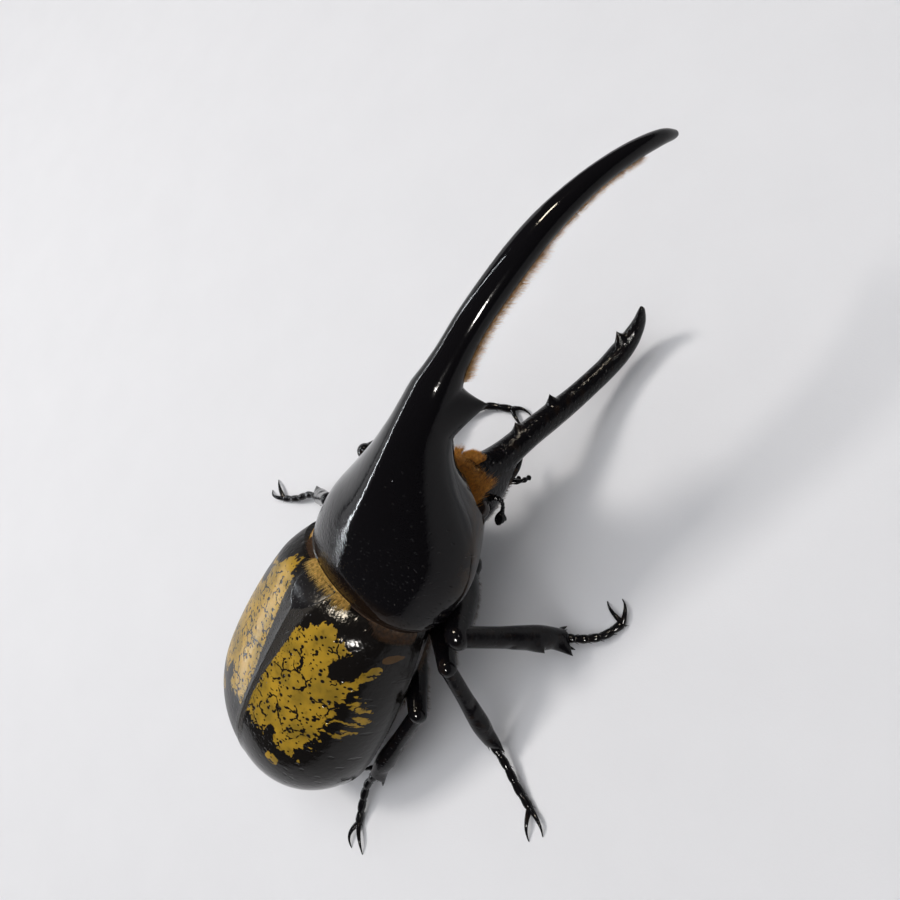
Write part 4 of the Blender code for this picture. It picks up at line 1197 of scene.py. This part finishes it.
def make_camera(stance):
    camera = bpy.data.cameras.new("camera")
    camera.sensor_width = SENSOR_WIDTH
    camera.lens = CAMERA_LENS
    camera.clip_start = 0.01
    ahead = Vector(CAMERA_AHEAD).normalized()
    up = square_to(-Vector(CAMERA_DOWN), ahead)
    place = stance @ (Vector(CAMERA_PLACE) * MM)
    bpy.context.scene.camera = add_object("camera", camera, facing(place, ahead.cross(up), up, -ahead))


def soft_light(name, place, target, along, length, width, power, colour, lights, shines):
    """A rectangular light that faces its target, with its long side along a given way. It lights matte
    surfaces, shows as a highlight in glossy ones, or does both."""
    light = bpy.data.lights.new(name, "AREA")
    light.energy = power
    light.color = colour
    light.shape = "RECTANGLE"
    light.size = length
    light.size_y = width
    back = (Vector(place) - Vector(target)).normalized()
    long_way = square_to(Vector(along), back)
    obj = add_object(name, light, facing(place, long_way, back.cross(long_way), back))
    obj.visible_diffuse = lights
    obj.visible_glossy = shines


WORLD_COLOUR = (0.92, 0.94, 1.0)
WORLD_STRENGTH = 0.07
WARM = (1.0, 0.96, 0.91)
COOL = (0.90, 0.95, 1.0)
PALE = (0.97, 0.98, 1.0)
GOLDEN = (1.0, 0.88, 0.70)
# Lights, in metres and watts: name, place, target, the way of the long side, length, width, power, colour,
# and whether it lights matte surfaces and shines in glossy ones
LIGHTS = (
    ("key", (-0.16, 0.36, 0.78), (0, 0, 0.02), (1, 0, 0), 0.16, 0.16, 2.8, WARM, True, False),
    ("overhead", (0.0, 0.0, 1.1), (0, 0, 0), (1, 0, 0), 1.3, 1.3, 10.5, PALE, True, False),
    ("shoulder_lamp", (-0.18, -0.62, 0.62), (-0.02, 0, 0.03), (1, 0, 0),
     0.12, 0.12, 12.0, WARM, False, True),
    ("horn_lamp", (0.42, 0.06, 0.72), (0.05, 0, 0.05), (1, 0, 0), 0.18, 0.10, 7.0, GOLDEN, False, True),
    ("window", (-0.25, 0.95, 0.24), (0, 0, 0.03), (1, 0.3, 0), 1.5, 0.4, 2.0, PALE, True, True),
    ("strip", (-0.40, 0.55, 0.24), (0, 0, 0.05), (0.59, 0.30, 0.26), 0.8, 0.010, 2.6, COOL, False, True),
    ("horn_strip", (-0.03, 0.53, 0.53), (0.03, 0, 0.05), (0.14, -0.15, 0.34),
     0.45, 0.010, 1.6, COOL, False, True),
)


def make_light():
    """Soft studio light over a dim room, so that the black shell keeps its depth."""
    for settings in LIGHTS:
        soft_light(*settings)
    world = bpy.data.worlds.new("world")
    world.use_nodes = True
    background = world.node_tree.nodes["Background"]
    background.inputs[0].default_value = (*WORLD_COLOUR, 1)
    background.inputs[1].default_value = WORLD_STRENGTH
    bpy.context.scene.world = world
    bpy.context.scene.view_settings.view_transform = "Standard"


FLOOR_HALF = 1500


def make_floor():
    points = [(x * FLOOR_HALF, y * FLOOR_HALF, 0) for x, y in ((-1, -1), (1, -1), (1, 1), (-1, 1))]
    floor = mesh_object("floor", points, [(0, 1, 2, 3)], Matrix.Identity(4))
    floor.data.materials.append(floor_material())


def make_prothorax(frame, grid):
    """The pronotum with its horn, the head with its horn, the mouthparts, eyes and feelers."""
    rugged = rugged_material("rugged_shell", 1.2, 0.08, 0.20, 0.05, 0.15)
    shell = skin_object("pronotum_shell", [grid], frame)
    cut_socket(shell, frame)
    dress(shell, pronotum_material(), "black_shell", "pronotum", "thoracic_horn")
    for name, grids, node in (
        ("head_shell", [head_grid()], "head"),
        ("head_horn", [cephalic_grid()], "cephalic_horn"),
        ("mouth_pieces", mouth_grids(), "mouthparts"),
    ):
        dress(skin_object(name, grids, frame), rugged, "black_shell", node)
    eye = eye_material()
    for name, side in SIDES:
        dress(skin_object("eye_ball_" + name, [eye_grid(side)], frame), eye, "eye_brown", "eye_" + name)
        feeler = skin_object("feeler_" + name, antenna_grids(side), frame)
        dress(feeler, rugged, "black_shell", "antenna_" + name)


def make_hind_body(frame, chest_grid):
    ochre = elytron_material()
    brown = belly_material()
    for name, side in SIDES:
        case = skin_object("wing_case_" + name, [elytron_grid(side)], frame)
        case.data.set_sharp_from_angle(angle=math.radians(ELYTRON_SHARP_ANGLE))
        dress(case, ochre, "elytron_ochre", "elytron_" + name)
    dress(skin_object("shield", [scutellum_grid()], frame), shield_material(), "black_shell", "scutellum")
    plates = skin_object("belly_plates", [belly_grid(0, ABDOMEN_END_X)], frame)
    dress(plates, brown, "belly_brown", "abdomen")
    dress(skin_object("chest", [chest_grid], frame), brown, "belly_brown", "thorax")


def make_legs(frame):
    """The fine legs. Gives back each femur's skin, where its hair is rooted, with its frame."""
    leg_shell = rugged_material("leg_black", 1.1, 0.035, 0.05, 0.06, 0.20)
    femora = {}
    for name, leg in LEGS.items():
        hip, knee, ankle = (Vector(leg[key]) for key in ("hip", "knee", "ankle"))
        parts = {
            "coxa": coxa_grids(hip),
            "femur": femur_grids(hip, knee, leg["thick"]),
            "tibia": tibia_grids(knee, ankle, leg["thick"], leg["teeth"]),
            "tarsus": tarsus_grids(leg, ankle),
        }
        femora[name] = (parts["femur"][0], frame)
        for part, grids in parts.items():
            piece = skin_object(f"{part}_fine_{name}", grids, frame)
            dress(piece, leg_shell, "leg_black", f"{part}_{name}")
    return femora


HAIR_JITTER = 0.2
SHORT_HAIR_BIAS = 1.6
ROOT_DEPTH = 0.1
# Setae: colour, dark tone, sheen
SETAE = {
    "golden": ((0.88, 0.56, 0.22), (0.52, 0.25, 0.07), 0.2),
    "ochre": ((0.92, 0.61, 0.16), (0.36, 0.20, 0.04), 0.2),
    "orange": ((0.80, 0.38, 0.07), (0.36, 0.14, 0.025), 0.2),
    "brown": ((0.10, 0.045, 0.016), (0.025, 0.012, 0.007), 0.02),
}
# Coats: name, skin, shares of its rows and of its way round, count, lean along the normal and along the
# rows, least and most length and radius, bend of the tip, setae
COATS = (
    ("horn_velvet_near", "pronotum", (0.475, 0.70), (0.57, 0.93), 12500,
     (1.0, 0.25), (0.4, 2.0), (0.012, 0.024), (0.3, 0, 0), "golden"),
    ("horn_velvet_far", "pronotum", (0.70, 0.87), (0.59, 0.91), 12500,
     (1.0, 0.25), (0.2, 1.4), (0.010, 0.020), (0.3, 0, 0), "golden"),
    ("rear_fringe", "pronotum", (0, 0.03), (0.172, 0.283), 12500,
     (0.45, -0.5), (1.1, 2.3), (0.035, 0.055), (-1.5, 0, 0.4), "ochre"),
    ("rear_fringe_left", "pronotum", (0, 0.010), (0.10, 0.19), 6000,
     (1.0, 0.2), (0.8, 1.8), (0.03, 0.05), (-1.6, 0, 0), "brown"),
    ("rear_fringe_right", "pronotum", (0, 0.010), (0.27, 0.46), 10000,
     (1.0, 0.2), (0.9, 2.0), (0.03, 0.05), (-1.6, 0, 0.2), "brown"),
    ("head_brush", "head", (0.15, 0.68), (0.06, 0.40), 12500,
     (1.0, 0.9), (1.4, 3.2), (0.03, 0.05), (0.9, 0, 0), "orange"),
    ("horn_root_brush", "cephalic_horn", (0, 0.045), (0, 0.26), 4000,
     (1.0, 0.2), (0.5, 1.3), (0.03, 0.05), (0.3, 0, 0), "orange"),
    ("cheek_hair", "head", (0.3, 0.9), (0.62, 0.88), 4000,
     (1.0, 0.3), (0.5, 1.2), (0.03, 0.05), (0.3, 0, 0), "brown"),
    ("chest_hair", "chest", (0, 0.9), (0.52, 0.96), 9000,
     (1.0, -0.7), (0.8, 2.0), (0.03, 0.05), (-0.6, 0, 0), "brown"),
)
FEMUR_COAT = ((0.1, 0.85), (0.6, 1.0), 900, (0.8, 0.7), (0.5, 1.2), (0.025, 0.04), (0, 0, -0.2), "brown")


def coat(name, skin, rows_kept, round_kept, count, lean, lengths, thickness, bend, tone):
    """Setae over part of a skin. A skin is a grid and its frame."""
    grid, frame = skin
    spots, normals, ways, places = roots_on(grid, rows_kept, round_kept, count)
    out, along = lean
    way = normals * out + ways * along
    way += rng.normal(0, HAIR_JITTER, way.shape)
    length = lengths[0] + (lengths[1] - lengths[0]) * rng.random(len(spots)) ** SHORT_HAIR_BIAS
    radius = rng.uniform(*thickness, len(spots))
    sags = np.tile(np.array(bend, float), (len(spots), 1))
    bristles(name, spots - normals * ROOT_DEPTH, way, sags, length, radius, places, frame, tone)


def make_setae(skins, femora):
    """Velvet under the long horn, the brush over the head, the fringe behind the pronotum, brown hair."""
    tones = {name: setae_material(name + "_setae", *look) for name, look in SETAE.items()}
    for name, skin, *shape, tone in COATS:
        coat(name, skins[skin], *shape, tones[tone])
    for name, skin in femora.items():
        coat("femur_hair_" + name, skin, *FEMUR_COAT[:-1], tones[FEMUR_COAT[-1]])


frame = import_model()
rng = np.random.default_rng(SEED)
hind_frame, prothorax_frame, stance_frame = body_frames()
prothorax_skin = pronotum_grid()
chest_skin = belly_grid(ABDOMEN_END_X - CHEST_OVERLAP, BELLY_FRONT_X)

make_camera(stance_frame)
make_floor()
make_light()
make_prothorax(prothorax_frame, prothorax_skin)
make_hind_body(hind_frame, chest_skin)
femur_skins = make_legs(stance_frame)
make_setae({
    "pronotum": (prothorax_skin, prothorax_frame),
    "head": (head_grid(), prothorax_frame),
    "cephalic_horn": (cephalic_grid(), prothorax_frame),
    "chest": (chest_skin, hind_frame),
}, femur_skins)
